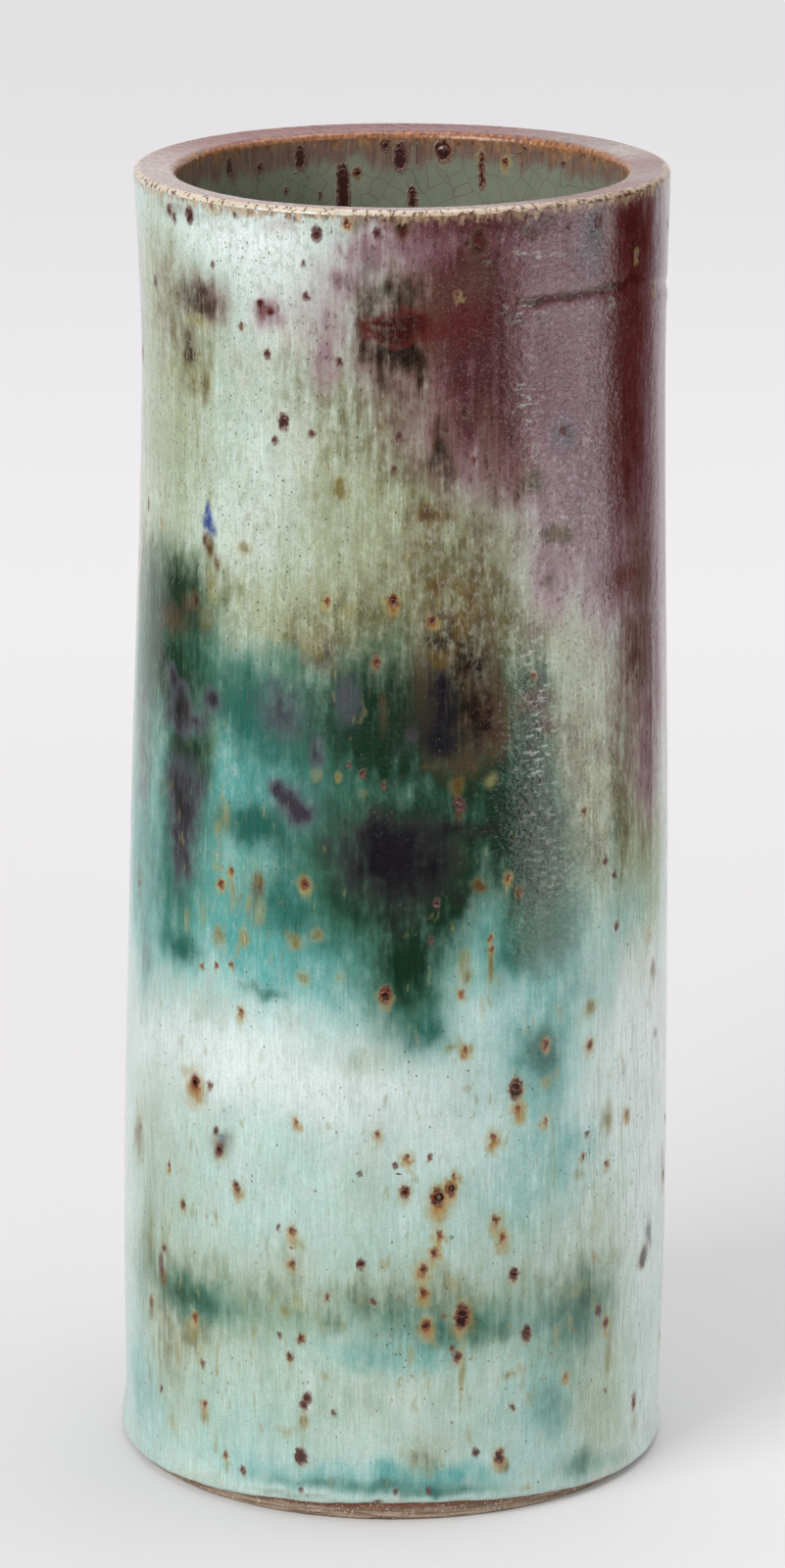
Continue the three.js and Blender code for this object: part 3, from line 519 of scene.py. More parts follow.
        "veil": (582, 470, 44, 240, 1), "veilLow": (570, 760, 40, 80, 1),
        "speckled": (588, 890, 34, 40, 0.8)},
    "combed": {
        "teal": (200, 800, 60, 200, 0.3), "field": (450, 520, 90, 90, 0.7), "flank": (655, 1100, 36, 330, 1),
        "rightUpper": (650, 700, 34, 130, 1), "left": (160, 500, 24, 260, 0.4),
        "leftLow": (150, 1250, 20, 260, 0.7), "middle": (430, 600, 90, 90, 0.5)},
    "stained": {
        "whiteFall": (300, 420, 90, 120, 0.35), "low": (400, 1400, 300, 120, 0.8),
        "leftLow": (190, 1300, 60, 120, 0.6), "tealLeft": (240, 920, 70, 90, 0.9),
        "middle": (420, 600, 110, 70, 0.8), "rightLow": (600, 1250, 40, 150, 0.7),
        "leftTop": (190, 400, 30, 100, 0.7), "belly": (400, 1150, 260, 70, 0.45),
        "tealRight": (500, 960, 80, 60, 0.4)},
}

# Beyond the photograph's edges the same washes go on round the back: (bearing, height, half width,
# half height, amount), in degrees and mm
backWashes = {
    "chalk": {
        "top": (-130, 262, 30, 26, 0.9), "fall": (-150, 222, 9, 30, 0.7), "belly": (180, 112, 70, 20, 0.9),
        "bellyRight": (112, 88, 34, 48, 0.9), "low": (-150, 66, 30, 16, 0.5)},
    "celadon": {
        "left": (-125, 222, 34, 40, 0.8), "middle": (170, 205, 44, 24, 0.6),
        "right": (110, 185, 24, 26, 0.9)},
    "turquoise": {
        "left": (-110, 148, 40, 26, 1), "middle": (180, 150, 60, 24, 1), "right": (118, 142, 30, 20, 0.9),
        "veil": (180, 70, 130, 40, 0.3), "foot": (180, 20, 150, 18, 0.5)},
    "olive": {
        "left": (-118, 200, 20, 14, 0.6), "right": (112, 165, 12, 16, 0.7), "band": (-124, 52, 14, 7, 0.8),
        "back": (176, 194, 26, 9, 0.5)},
    "teal": {
        "left": (-112, 158, 32, 18, 0.9), "middle": (178, 166, 44, 16, 0.9), "right": (128, 156, 26, 14, 0.8),
        "band": (-120, 48, 40, 7, 0.7), "bandBack": (170, 44, 46, 7, 0.7), "foot": (-150, 9, 44, 5, 0.6)},
    "mauve": {
        "right": (110, 240, 44, 60, 1), "back": (160, 262, 44, 34, 0.9), "left": (-165, 280, 30, 16, 0.6)},
    "crimson": {
        "right": (100, 245, 26, 45, 0.9), "back": (140, 262, 26, 26, 0.7)},
    "bottle": {
        "left": (-112, 178, 26, 12, 0.8), "middle": (176, 180, 34, 12, 1), "run": (-160, 148, 10, 26, 0.8),
        "runRight": (140, 140, 12, 22, 0.7), "band": (-128, 50, 16, 6, 0.6)},
    "slate": {
        "left": (-122, 162, 7, 14, 0.9), "back": (-168, 136, 6, 12, 0.8), "right": (118, 158, 6, 9, 0.7)},
    "umber": {
        "patch": (-140, 250, 9, 9, 0.7), "run": (-138, 228, 5, 18, 0.5), "aroundInk": (170, 186, 14, 10, 0.7),
        "low": (-95, 80, 3, 9, 0.6), "plum": (112, 66, 5, 8, 0.7)},
    "oxblood": {
        "right": (96, 240, 10, 40, 0.6), "back": (150, 256, 9, 9, 0.9)},
    "ink": {
        "left": (-130, 168, 8, 10, 0.8), "middle": (168, 172, 13, 12, 1), "run": (-158, 150, 6, 14, 0.8)},
    "ochre": {
        "left": (-118, 190, 5, 9, 0.7), "run": (-105, 118, 3, 10, 0.7), "runBack": (160, 110, 3, 12, 0.7),
        "low": (-140, 34, 3, 6, 0.7), "right": (125, 96, 3, 9, 0.6)},
    "amber": {
        "left": (-128, 196, 5, 3, 0.8), "back": (-172, 198, 4, 5, 0.8), "right": (140, 126, 2, 4, 0.8)},
    "peppered": {
        "left": (-120, 230, 26, 34, 0.9), "right": (120, 250, 34, 34, 0.6), "back": (175, 215, 40, 20, 0.8)},
    # pale flecks painted as glints of the light, as in front
    "paintedGlints": {
        "right": (104, 150, 12, 20, 0.6)},
    "dimpled": {
        "right": (110, 230, 30, 50, 0.6)},
    "combed": {
        "right": (120, 110, 50, 110, 0.8), "left": (-120, 120, 40, 130, 0.6),
        "back": (180, 200, 60, 60, 0.5)},
    "stained": {
        "all": (180, 110, 150, 110, 0.6)},
}


def wrapAround(bearing):
    return (bearing + math.pi) % (2 * math.pi) - math.pi


# How far a wash's edge wanders across and up, the cells of that, the size of a wash that has it in full,
# all in mm, and the noise's seed
brushing = {
    "fine": (0.8, 1.7, 2.4, 6, 2.5, 17), "middling": (1.7, 2.6, 9, 13, 6, 11),
    "broad": (4.0, 4.5, 26, 30, 14, 31),
}
washEdge = {  # how a wash thins out: a small mark has the crisper edge, and past its reach nothing is left
    "half": 0.69, "large": 2.0, "small": 2.6, "smallUnder": 4, "reach": 3, "marginAcross": 9, "marginUp": 11,
    "leastSqueeze": 0.3,
}


def washField(pigment, bearing, h):  # how much of an oxide lies at each point, 0 to 1
    wander = []
    for wide, tall, across, up, fullAt, seed in brushing.values():
        sideways, upwards = (softField(bearing, h, across, up, start, 2) for start in (seed, seed + 5))
        wander.append((wide * sideways, tall * upwards, fullAt))
    spread = []
    for x, y, halfWide, halfTall, amount in washes[pigment].values():
        atBearing, atHeight = wallFromPhoto(x, y)
        # towards the edges of the picture the wall turns away
        squeeze = max(math.cos(atBearing), washEdge["leastSqueeze"])
        spread.append((atBearing, atHeight, halfWide / photoScale / squeeze, halfTall / photoScale, amount))
    for degrees, *wash in backWashes.get(pigment, {}).values():
        spread.append((math.radians(degrees), *wash))
    left = np.ones_like(bearing)
    for atBearing, atHeight, halfWide, halfTall, amount in spread:
        size = min(halfWide, halfTall)
        across = wrapAround(bearing - atBearing) * meanRadius
        up = h - atHeight
        near = ((np.abs(across) < washEdge["reach"] * halfWide + washEdge["marginAcross"])
                & (np.abs(up) < washEdge["reach"] * halfTall + washEdge["marginUp"]))
        across, up = across[near], up[near]
        for sideways, upwards, fullAt in wander:
            share = min(1, size / fullAt)
            across = across + share * sideways[near]
            up = up + share * upwards[near]
        q = np.sqrt((across / halfWide)**2 + (up / halfTall)**2)
        softness = washEdge["large" if size > washEdge["smallUnder"] else "small"]
        left[near] *= 1 - amount * np.exp(-washEdge["half"] * q**softness)
    return 1 - left


# Iron that boiled through the glaze: (x, y, core, halo, rustiness, tail) in the photograph's pixels.
# A core under 1 is mostly a stain. Rustiness is 0 for a bare maroon blot and 1 for one in a rusty halo.

ironSpots = {
    "eye": (200, 1104, 5, 15, 1), "eyeMate": (215, 1107, 2, 4, 0.5), "mossy": (221, 1154, 1.8, 5, 0.2),
    "mossyLow": (224, 1173, 3.5, 10, 0.3), "leftPin": (173, 1189, 1.2, 5, 0.8),
    "leftPinLow": (187, 1229, 2.2, 6, 0.7), "slant": (241, 1209, 2.4, 5, 0.6),
    "slantLow": (243, 1215, 1.4, 7, 0.7), "lamp": (303, 1144, 0.7, 6, 1),
    "lampRight": (385, 1156, 0.7, 7, 0.9), "egg": (526, 1109, 6, 10, 0.6, 5), "eggTail": (528, 1130, 1, 9, 1),
    "ringed": (415, 1180, 1.3, 7, 1), "ringedMate": (438, 1180, 0.8, 3, 0.7), "pin": (403, 1189, 1.3, 2, 0.2),
    "hook": (463, 1199, 1, 7, 1), "comet": (503, 1160, 1, 9, 1), "cluster": (447, 1221, 6.5, 14, 1),
    "clusterRight": (460, 1212, 4.5, 10, 1), "starry": (413, 1216, 3.6, 8, 0.7),
    "twinA": (448, 1259, 1.8, 8, 1), "twinB": (459, 1251, 2.2, 3, 0.3), "twinC": (460, 1262, 2.6, 7, 0.8),
    "pairA": (505, 1244, 2, 9, 1), "pairB": (512, 1262, 1.8, 9, 1), "chainA": (443, 1277, 2.2, 9, 1),
    "chainB": (432, 1294, 2.6, 10, 1), "chainC": (432, 1318, 2.4, 8, 0.9),
    "pinkCrater": (368, 1289, 3.2, 4, 0.25), "redEye": (524, 1300, 4.2, 7, 0.6),
    "topRight": (556, 1143, 0.9, 6, 1), "dabRight": (475, 1071, 0.8, 6, 0.9),
    "darkGrain": (599, 1157, 1.8, 2, 0.2), "grainLow": (595, 1180, 1.3, 5, 0.8),
    "grainRight": (620, 1187, 0.9, 5, 0.8), "flankDab": (641, 1137, 1, 6, 0.9),
    "slit": (602, 1066, 2.2, 7, 0.9), "low": (299, 1255, 1.6, 7, 0.8), "lowUnder": (299, 1289, 1.8, 6, 0.8),
    "rosy": (334, 1323, 1.2, 4, 0.4), "rosyB": (381, 1327, 1.2, 3, 0.3),
    "pinOnBand": (284, 1252, 0.8, 2, 0.3), "bandAmber": (434, 1352, 3, 10, 1),
    "bandAmberB": (452, 1341, 1.8, 6, 1), "bandDark": (471, 1339, 6, 13, 0.8, 8),
    "bandGrain": (461, 1375, 1.8, 3, 0.3), "bandTailed": (466, 1384, 3.2, 7, 0.6),
    "craterRed": (537, 1360, 5, 7, 0.35), "rightGrey": (611, 1337, 3.4, 5, 0.3),
    "rightRust": (619, 1350, 3, 8, 0.9), "pinkA": (286, 1362, 1.2, 3, 0.3),
    "brownA": (307, 1365, 2.4, 5, 0.7), "roseA": (296, 1384, 2, 5, 0.5), "leftBrown": (207, 1391, 2, 3, 0.6),
    "bandLeft": (199, 1344, 2.2, 6, 0.9), "whiteEyed": (165, 1417, 1.3, 3, 0.1),
    "leftDrip": (209, 1432, 1.8, 6, 0.9), "stackA": (313, 1426, 3.6, 4, 0.3),
    "stackB": (310, 1434, 2.8, 4, 0.5), "grainFar": (341, 1441, 0.8, 3, 0.4),
    "bigLow": (307, 1486, 5.6, 8, 0.35), "footLeft": (231, 1484, 1.6, 5, 0.9),
    "footDot": (248, 1500, 1.8, 4, 0.4), "arc": (485, 1482, 2.6, 2, 0.1), "footRight": (509, 1486, 4.2, 9, 1),
    "ringLow": (522, 1436, 1.6, 5, 0.5), "dropRight": (577, 1404, 1, 6, 0.9),
    "flankGrain": (618, 1419, 0.9, 2, 0.2), "flankRust": (647, 1429, 2.4, 6, 0.8, 4),
    "edgeA": (404, 1522, 0.9, 2, 0.1), "edgeB": (437, 1521, 0.9, 2, 0.1), "edgeC": (307, 1519, 0.9, 2, 0.1),
    "leftTall": (167, 1273, 2.2, 4, 0.5), "leftTallLow": (154, 1325, 1.6, 4, 0.6, 6),
    "brown": (393, 1015, 5, 8, 0.7), "lonely": (247, 1032, 1.5, 6, 1), "craterPink": (597, 828, 2.2, 5, 0.7),
    "dome": (469, 821, 4.2, 4, 0.1), "beads": (370, 790, 2, 3, 0.1), "beadsRight": (392, 802, 1.3, 2, 0.1),
    "darkOlive": (384, 676, 2.4, 4, 0.5), "ruby": (311, 902, 2.6, 5, 0.8), "rubyTop": (237, 888, 1.3, 3, 0.9),
    "rubyLeft": (227, 902, 2, 5, 1), "rustTop": (519, 896, 1.8, 5, 0.9), "dotRun": (501, 957, 1.1, 4, 1),
    "dotRunB": (502, 968, 0.9, 3, 0.9), "edgeRed": (144, 901, 1.6, 4, 0.6),
    "ringedDark": (630, 945, 1.8, 3, 0.5), "patchHeart": (557, 1065, 2.4, 6, 0.8),
    "ringOne": (356, 781, 0.9, 2, 0.1), "seedA": (208, 985, 0.8, 3, 0.8), "seedB": (222, 985, 0.9, 3, 0.9),
    "seedC": (237, 984, 0.8, 2, 0.8), "tongueDot": (471, 1013, 0.9, 5, 1), "grainA": (367, 1197, 0.6, 2, 0.1),
    "grainB": (446, 922, 2.2, 3, 0.1), "grainC": (440, 960, 1.2, 2, 0.1), "noon": (401, 614, 3.8, 7, 1),
    "noonLow": (441, 634, 2.4, 6, 0.9), "ochreEye": (334, 614, 1.6, 5, 0.9),
    "brownOval": (290, 430, 5, 6, 0.15), "brownOvalB": (318, 442, 2.4, 4, 0.2),
    "slantGrey": (281, 449, 2, 4, 0.1), "violetDot": (312, 302, 2.4, 4, 0.05),
    "underLipA": (173, 214, 3.2, 4, 0.1), "underLipB": (178, 222, 2.6, 4, 0.1),
    "underLipC": (193, 216, 4.2, 4, 0.05, 5), "rimRing": (216, 207, 1.6, 6, 0.8),
    "rimRingB": (255, 213, 1.6, 5, 0.7), "rimCrater": (323, 239, 4.4, 5, 0.1),
    "rimCraterB": (353, 227, 2.6, 6, 0.9), "belowDark": (385, 238, 3.6, 4, 0.05),
    "rimDotA": (294, 219, 1.8, 3, 0.1), "rimDotB": (240, 219, 1.2, 2, 0.2),
    "rimDotC": (301, 222, 1.2, 2, 0.1), "fleckA": (217, 269, 1.4, 3, 0.1), "fleckB": (310, 269, 1.4, 3, 0.1),
    "fleckC": (273, 361, 2.2, 5, 0.3), "fleckD": (246, 332, 1.2, 2, 0.5),
    "ovalMate": (477, 249, 3.2, 4, 0.05), "besideOval": (510, 242, 1.8, 3, 0.05),
    "bandDotA": (546, 241, 3.2, 4, 0.05), "bandDotB": (538, 221, 3, 4, 0.05),
    "bandDotC": (580, 232, 1.4, 3, 0.05), "greyCrater": (610, 226, 4, 6, 0.1),
    "rimTan": (648, 260, 1.6, 5, 0.9), "rimTanB": (666, 294, 1.6, 5, 0.9),
    "leftStroke": (160, 284, 2, 3, 0.2, 4), "leftStrokeB": (154, 512, 1.6, 3, 0.3, 6),
    "darkField": (474, 421, 4.4, 5, 0.1), "orangeFleck": (467, 302, 1.6, 4, 0.9),
    "smallDark": (484, 470, 1.6, 3, 0.4), "halfDark": (402, 480, 1.8, 3, 0.1),
    "halfDarkB": (407, 446, 2.4, 4, 0.1), "leftMid": (346, 370, 2.2, 4, 0.2),
    "bandTall": (575, 440, 2.6, 4, 0.05), "tornA": (545, 690, 1.4, 4, 0.7), "speckA": (619, 878, 2, 3, 0.1),
    "speckB": (628, 893, 2.4, 4, 0.1),
}

innerSpots = {
    "leftDrop": (232, 168, 3.4, 5, 0.1, 6), "leftDot": (264, 171, 2.6, 4, 0.2),
    "tallBrown": (305, 156, 4.6, 6, 0.15, 10), "pillar": (349, 176, 6, 6, 0.1, 34),
    "tangerine": (364, 176, 3.4, 5, 0.7), "ringBrown": (393, 148, 4, 5, 0.3),
    "teardrop": (408, 154, 5.5, 7, 0.15, 12), "blister": (453, 154, 7.5, 8, 0.35),
    "low": (421, 196, 3.6, 5, 0.4, 12), "streak": (493, 158, 2.2, 5, 0.8, 30),
    "amberEye": (517, 165, 2.4, 6, 1), "grainA": (538, 153, 1.6, 3, 0.2), "grainB": (577, 167, 2, 3, 0.3),
    "grainC": (290, 195, 1.4, 3, 0.1), "grainD": (326, 199, 1.4, 3, 0.1),
}

print("form and washes ready")

# Iron spots: which places they take on the wall, outside and in

# A spot's marks end within so many halos and a rim of its core. A vertex that serves none lies far off
spotRoom = {"halos": 1.7, "rim": 1.2, "between": 2.5, "leastHalo": 2.5, "far": 40.0, "idle": (0.2, 1.0, 0.0)}
strewn = {  # what the spots at random are like, in mm
    "core": (0.2, 0.9), "halo": (0.9, 2.2, 0.4), "gap": 5,
    "tails": [0, 0, 3, 6], "rusts": [0.1, 0.5, 0.9, 1.0],
}


def spotsFromPhoto(spots, radiusAt=glazedRadius, far=False):  # bearing, height, core, halo, tail, rustiness
    found = []
    for x, y, core, halo, rust, *tail in spots.values():
        sizes = (core, max(halo, spotRoom["leastHalo"]), tail[0] if tail else 0)
        found.append((*wallFromPhoto(x, y, radiusAt, far), *(size / photoScale for size in sizes), rust))
    return found


def spotsAtRandom(seed, count, bearings, heights, keepOff=()):
    draw = np.random.default_rng(seed)
    found = []
    while len(found) < count:
        bearing, h = draw.uniform(*bearings), draw.uniform(*heights)
        size = draw.random()**3  # most are small
        (coreLeast, coreMore), (haloLeast, haloMore, haloShare) = strewn["core"], strewn["halo"]
        halo = haloLeast + haloMore * draw.random() * (haloShare + size)
        tail, rust = draw.choice(strewn["tails"]) * size, draw.choice(strewn["rusts"])
        if all(abs(wrapAround(bearing - s[0])) * meanRadius + abs(h - s[1]) > strewn["gap"]
               for s in [*keepOff, *found]):
            found.append((bearing, h, coreLeast + coreMore * size, halo, tail, rust))
    return found


def spotLayers(bearing, h, radiusAt, spots, count=3):
    # Every vertex is told how far it lies from the one spot that it serves. Spots near to each other go to
    # different layers, so within a layer no vertex has two to serve.
    layers = [[] for _ in range(count)]
    for spot in sorted(spots, key=lambda s: -s[3]):
        def clash(other):
            apart = math.hypot(wrapAround(spot[0] - other[0]) * meanRadius, spot[1] - other[1])
            return apart < (spot[3] + other[3]) * spotRoom["halos"] + spot[4] + other[4] + spotRoom["between"]
        free = [layer for layer in layers if not any(clash(o) for o in layer)]
        if free:
            free[0].append(spot)
    values = {}
    for number, layer in enumerate(layers):
        place = np.full((*bearing.shape, 3), spotRoom["far"])
        size = np.zeros((*bearing.shape, 3)) + spotRoom["idle"]
        rustiness = np.zeros(bearing.shape)
        nearest = np.full(bearing.shape, np.inf)
        for atBearing, atHeight, core, halo, tail, rust in layer:
            across = wrapAround(bearing - atBearing) * radiusAt(atHeight)
            up = h - atHeight
            distance = np.hypot(across, up + np.clip(-up, 0, tail))
            reach = halo * spotRoom["halos"] + spotRoom["rim"]
            mine = distance - reach < nearest
            nearest[mine] = (distance - reach)[mine]
            place[mine] = np.stack([across[mine], up[mine], distance[mine] > reach], axis=-1)
            size[mine] = (core, halo, tail)
            rustiness[mine] = rust
        values |= {f"spotPlace{number}": place, f"spotSize{number}": size, f"spotRust{number}": rustiness}
    return values


outerSpots = spotsFromPhoto(ironSpots)
backSpots = spotsAtRandom(5, 90, (math.radians(80), math.radians(280)), (10, 288))
lipSpots = spotsAtRandom(12, 44, (-math.pi, math.pi), (1, 10))  # their height is the walk over the lip
print("iron spots placed:", len(outerSpots), "in front,", len(backSpots), "behind")

# The skins. Each is a closed coat of glass over its clay, and shares its seams with its neighbours

fineness = {  # steps in mm, the bearing to which the front goes, and how many rows the small forms have
    "frontStep": 0.76, "backStep": 2.0, "frontReach": 80, "rowStep": 1.08, "innerRowStep": 1.7,
    "roll": 7, "overRoll": 6, "hidden": 8, "lipOuter": 15, "lipFlat": 7, "lipInner": 12, "coil": 8,
    "poolEdge": 12, "pool": 26, "recess": 14, "recessSlope": 5, "footRing": 9, "bevel": 7, "bareBand": 7,
}


def steps(key, low=0, high=1):
    return np.linspace(low, high, fineness[key])


frontHalf = math.radians(fineness["frontReach"])
frontCount = round(2 * frontHalf * meanRadius / fineness["frontStep"])
backCount = round((2 * math.pi - 2 * frontHalf) * meanRadius / fineness["backStep"])
bearings = np.concatenate([
    np.linspace(-frontHalf, frontHalf, frontCount, endpoint=False),
    np.linspace(frontHalf, 2 * math.pi - frontHalf, backCount, endpoint=False),
])

bond, innerCoat = form["bond"], form["innerCoat"]
floorTop, bevelHeight = form["floorTop"], form["bevelHeight"]
clayTop = form["height"] - form["lipCoat"] - bond
outerSeam = clayTop - form["lipOuterRound"]
lipSlope = math.radians(form["lipSlope"])
outerRoundAt = (clayOuter(outerSeam) - form["lipOuterRound"], outerSeam)
innerRoundX = clayInner(outerSeam) + form["lipInnerRound"]
innerSeam = outerSeam + (form["lipOuterRound"] - form["lipInnerRound"]
                         - (outerRoundAt[0] - innerRoundX) * math.sin(lipSlope)) / math.cos(lipSlope)
innerRoundAt = (innerRoundX, innerSeam)

# What the hand and the fire left on the surface, in mm: how deep, and the size of its waves across and up
hand = {
    "swell": (0.20, 45, 60), "dent": (0.10, 18, 30), "turning": (0.045, 150, 6), "runs": (0.055, 4, 60),
    "peel": (0.02, 2.6, 3.6),
}
innerHand = {
    "swell": (0.16, 40, 50), "turning": (0.09, 200, 7), "runs": (0.04, 4, 40), "peel": (0.015, 2.8, 3.6),
}
crease = {
    "start": (534, 312), "bend": (556, 302), "middle": (601, 298), "right": (640, 295), "edge": (678, 290),
    "depth": 0.42, "width": 1.1, "ridgeBelow": 2.6, "ridgeWidth": 1.5,
}
creaseLine = np.array([wallFromPhoto(*crease[key]) for key in ("start", "bend", "middle", "right", "edge")])


def waves(marks, bearing, h, seed):
    return sum(depth * softField(bearing, h, across, along, seed + number)
               for number, (depth, across, along) in enumerate(marks.values()))


def reliefAt(bearing, h):
    here = wrapAround(bearing)
    line = np.interp(here, creaseLine[:, 0], creaseLine[:, 1])
    first, last = creaseLine[0, 0], creaseLine[-1, 0]
    held = smooth(here, first - 0.03, first + 0.12) * (1 - smooth(here, last, last + 0.2))
    groove = np.exp(-((h - line) / crease["width"])**2)
    ridge = 0.5 * np.exp(-((h - line + crease["ridgeBelow"]) / crease["ridgeWidth"])**2)
    return waves(hand, bearing, h, 101) + crease["depth"] * held * (ridge - groove)


def innerReliefAt(bearing, h):  # into the vessel
    return waves(innerHand, bearing, h, 201)


foot = {
    "bareBand": 0.15, "bareRise": 3.6, "bareFocus": 7, "bareWave": 0.3,
    "rollDepth": 1.6, "rollCrest": 1.4, "rollHeight": 6,
    "dripDepth": 0.9, "dripBearing": -90, "dripSpread": 9, "dripHeight": 8, "hiddenFrom": 8, "clayTo": 5,
}


def edgeAt(bearing):  # where the outer glaze stopped
    rise = foot["bareRise"] * ((1 + np.cos(bearing)) / 2)**foot["bareFocus"]
    wave = foot["bareWave"] * (1 + np.sin(5 * bearing)) / 2
    nibble = (0.1 + 0.08 * rise) * softField(bearing, 0, 5, 50, 301, 3)
    return bevelHeight + foot["bareBand"] + rise + wave + nibble


def stayInside(x, y):  # the dressed part keeps to the solids' box
    low, high = np.array(cadLow) / mm, np.array(cadHigh) / mm
    return np.clip(x, low[0], high[0]), np.clip(y, low[1], high[1])


def ringsOf(profile):  # profile: rows of (radius, height), each a number or one value for each bearing
    rows = []
    for r, h in profile:
        r, h = np.broadcast_to(r, bearings.shape), np.broadcast_to(h, bearings.shape)
        x, y = byHand(bearings, r, h)
        rows.append(np.stack([*stayInside(x, y), h], axis=-1))
    rings = np.array(rows)
    return rings, np.broadcast_to(bearings, rings.shape[:2]), rings[..., 2]


def outerFace(bearing, h):
    return clayOuter(h) + bond + coatAt(h) + reliefAt(bearing, h)


def makeOuterSkin():
    edge = edgeAt(bearings)
    fromDrip = np.degrees(wrapAround(bearings - math.radians(foot["dripBearing"])))
    drip = np.exp(-(fromDrip / foot["dripSpread"])**2)
    crestDepth = foot["rollDepth"] + foot["dripDepth"] * drip
    profile = []
    for turn in np.radians(steps("roll", -90, 0)):  # under the roll
        h = edge + foot["rollCrest"] * (1 + math.sin(turn))
        profile.append((clayOuter(h) + bond + crestDepth * math.cos(turn), h))
    for t in steps("overRoll")[1:]:  # and over it
        h = edge + mix(foot["rollCrest"], foot["rollHeight"] + foot["dripHeight"] * drip, t)
        depth = mix(crestDepth, coatAt(h), smooth(t, 0, 1))
        profile.append((clayOuter(h) + bond + depth + reliefAt(bearings, h) * t, h))
    start = profile[-1][1]
    rows = round((outerSeam - foot["rollHeight"]) / fineness["rowStep"])
    for t in np.linspace(0, 1, rows + 1)[1:]:
        h = mix(start, outerSeam, t)
        profile.append((outerFace(bearings, h), h))
    top = len(profile) - 1
    profile += [(clayOuter(h) + bond, h) for h in [*steps("hidden", outerSeam, foot["hiddenFrom"]), edge]]
    rings, b, h = ringsOf(profile)
    values = {pigment: washField(pigment, b, h) for pigment in washes}
    values |= spotLayers(b, h, glazedRadius, outerSpots + backSpots)
    return skinMesh("outer_skin", rings, {0, top, top + 1, len(profile) - 1}, True, values)


def overLip(depthAt):  # the line over the lip, as (radius, height)
    def around(centre, radius, turns):
        for turn in turns:
            r, angle = radius + depthAt(turn), math.radians(turn)
            yield centre[0] + r * math.cos(angle), centre[1] + r * math.sin(angle)
    slope = 90 + form["lipSlope"]
    up = list(around(outerRoundAt, form["lipOuterRound"], steps("lipOuter", 0, slope)))
    down = list(around(innerRoundAt, form["lipInnerRound"], steps("lipInner", slope, 180)))
    (x, y), (endX, endY) = up[-1], down[0]
    return up + [(mix(x, endX, t), mix(y, endY, t)) for t in steps("lipFlat")[1:-1]] + down


lipTints = {  # along the lip, as (bearing, half width in degrees, amount)
    "lipGrey": [(125, 22, 0.7), (78, 8, 0.6), (-75, 20, 0.5), (40, 14, 0.3)],
    # the pale tint is pale glaze, and on the left of the lip top also a painted sheen of the key light
    "lipPaleAndSheen": [(-92, 22, 0.7), (-35, 38, 0.9), (112, 9, 0.5), (10, 20, 0.6)],
    "lipRed": [(180, 40, 1.0), (-140, 34, 0.9), (150, 20, 0.6), (60, 22, 0.9), (96, 12, 0.8)],
}
tintFall = {"half": 0.7, "power": 2.5}
lipSink = [(0.16, 0, 40, 401), (0.05, 40, 7, 402)]  # depth, place in the noise, size and seed of its waves


def makeLipSkin():
    def coat(turn):
        beside = coatAt(outerSeam) if turn < 90 else innerCoat
        return bond + mix(beside, form["lipCoat"], math.sin(math.radians(turn)))
    line = overLip(coat)
    walked = np.concatenate([[0], np.cumsum(np.hypot(*np.diff(np.array(line), axis=0).T))])
    across = walked / walked[-1]
    atSeam, inSeam = reliefAt(bearings, outerSeam), innerReliefAt(bearings, innerSeam)
    sink = sum(depth * (softField(bearings, place, size, 50, seed) - 1)
               for depth, place, size, seed in lipSink)
    profile = [(r + atSeam * (1 - t)**2 - inSeam * t**2, h + sink * math.sin(math.pi * t))
               for (r, h), t in zip(line, across)]
    top = len(profile) - 1
    profile += overLip(lambda turn: bond)[::-1]
    rings, b, h = ringsOf(profile)
    walk = np.concatenate([across, across[::-1]])[:, None] * walked[-1] + b * 0
    values = {"lipWalk": walk} | spotLayers(b, walk, glazedRadius, lipSpots)
    values |= {pigment: washField(pigment, b, h) for pigment in washes}
    for tint, patches in lipTints.items():
        left = np.ones_like(b)
        for at, half, amount in patches:
            off = (np.degrees(wrapAround(b)) - at + 180) % 360 - 180
            left = left * (1 - amount * np.exp(-tintFall["half"] * np.abs(off / half)**tintFall["power"]))
        values[tint] = 1 - left
    return skinMesh("lip_skin", rings, {0, top, top + 1, len(profile) - 1}, True, values)


coilTop = floorTop + bond + form["coilLeg"]
hollowAt = (clayInner(coilTop) - bond - form["coilLeg"], coilTop)
poolTurn = -math.asin(1 - form["poolDepth"] / form["coilLeg"])
poolTop = floorTop + bond + form["poolDepth"]


def innerFace(bearing, h):
    return clayInner(min(h, outerSeam)) - bond - innerCoat - innerReliefAt(bearing, h)


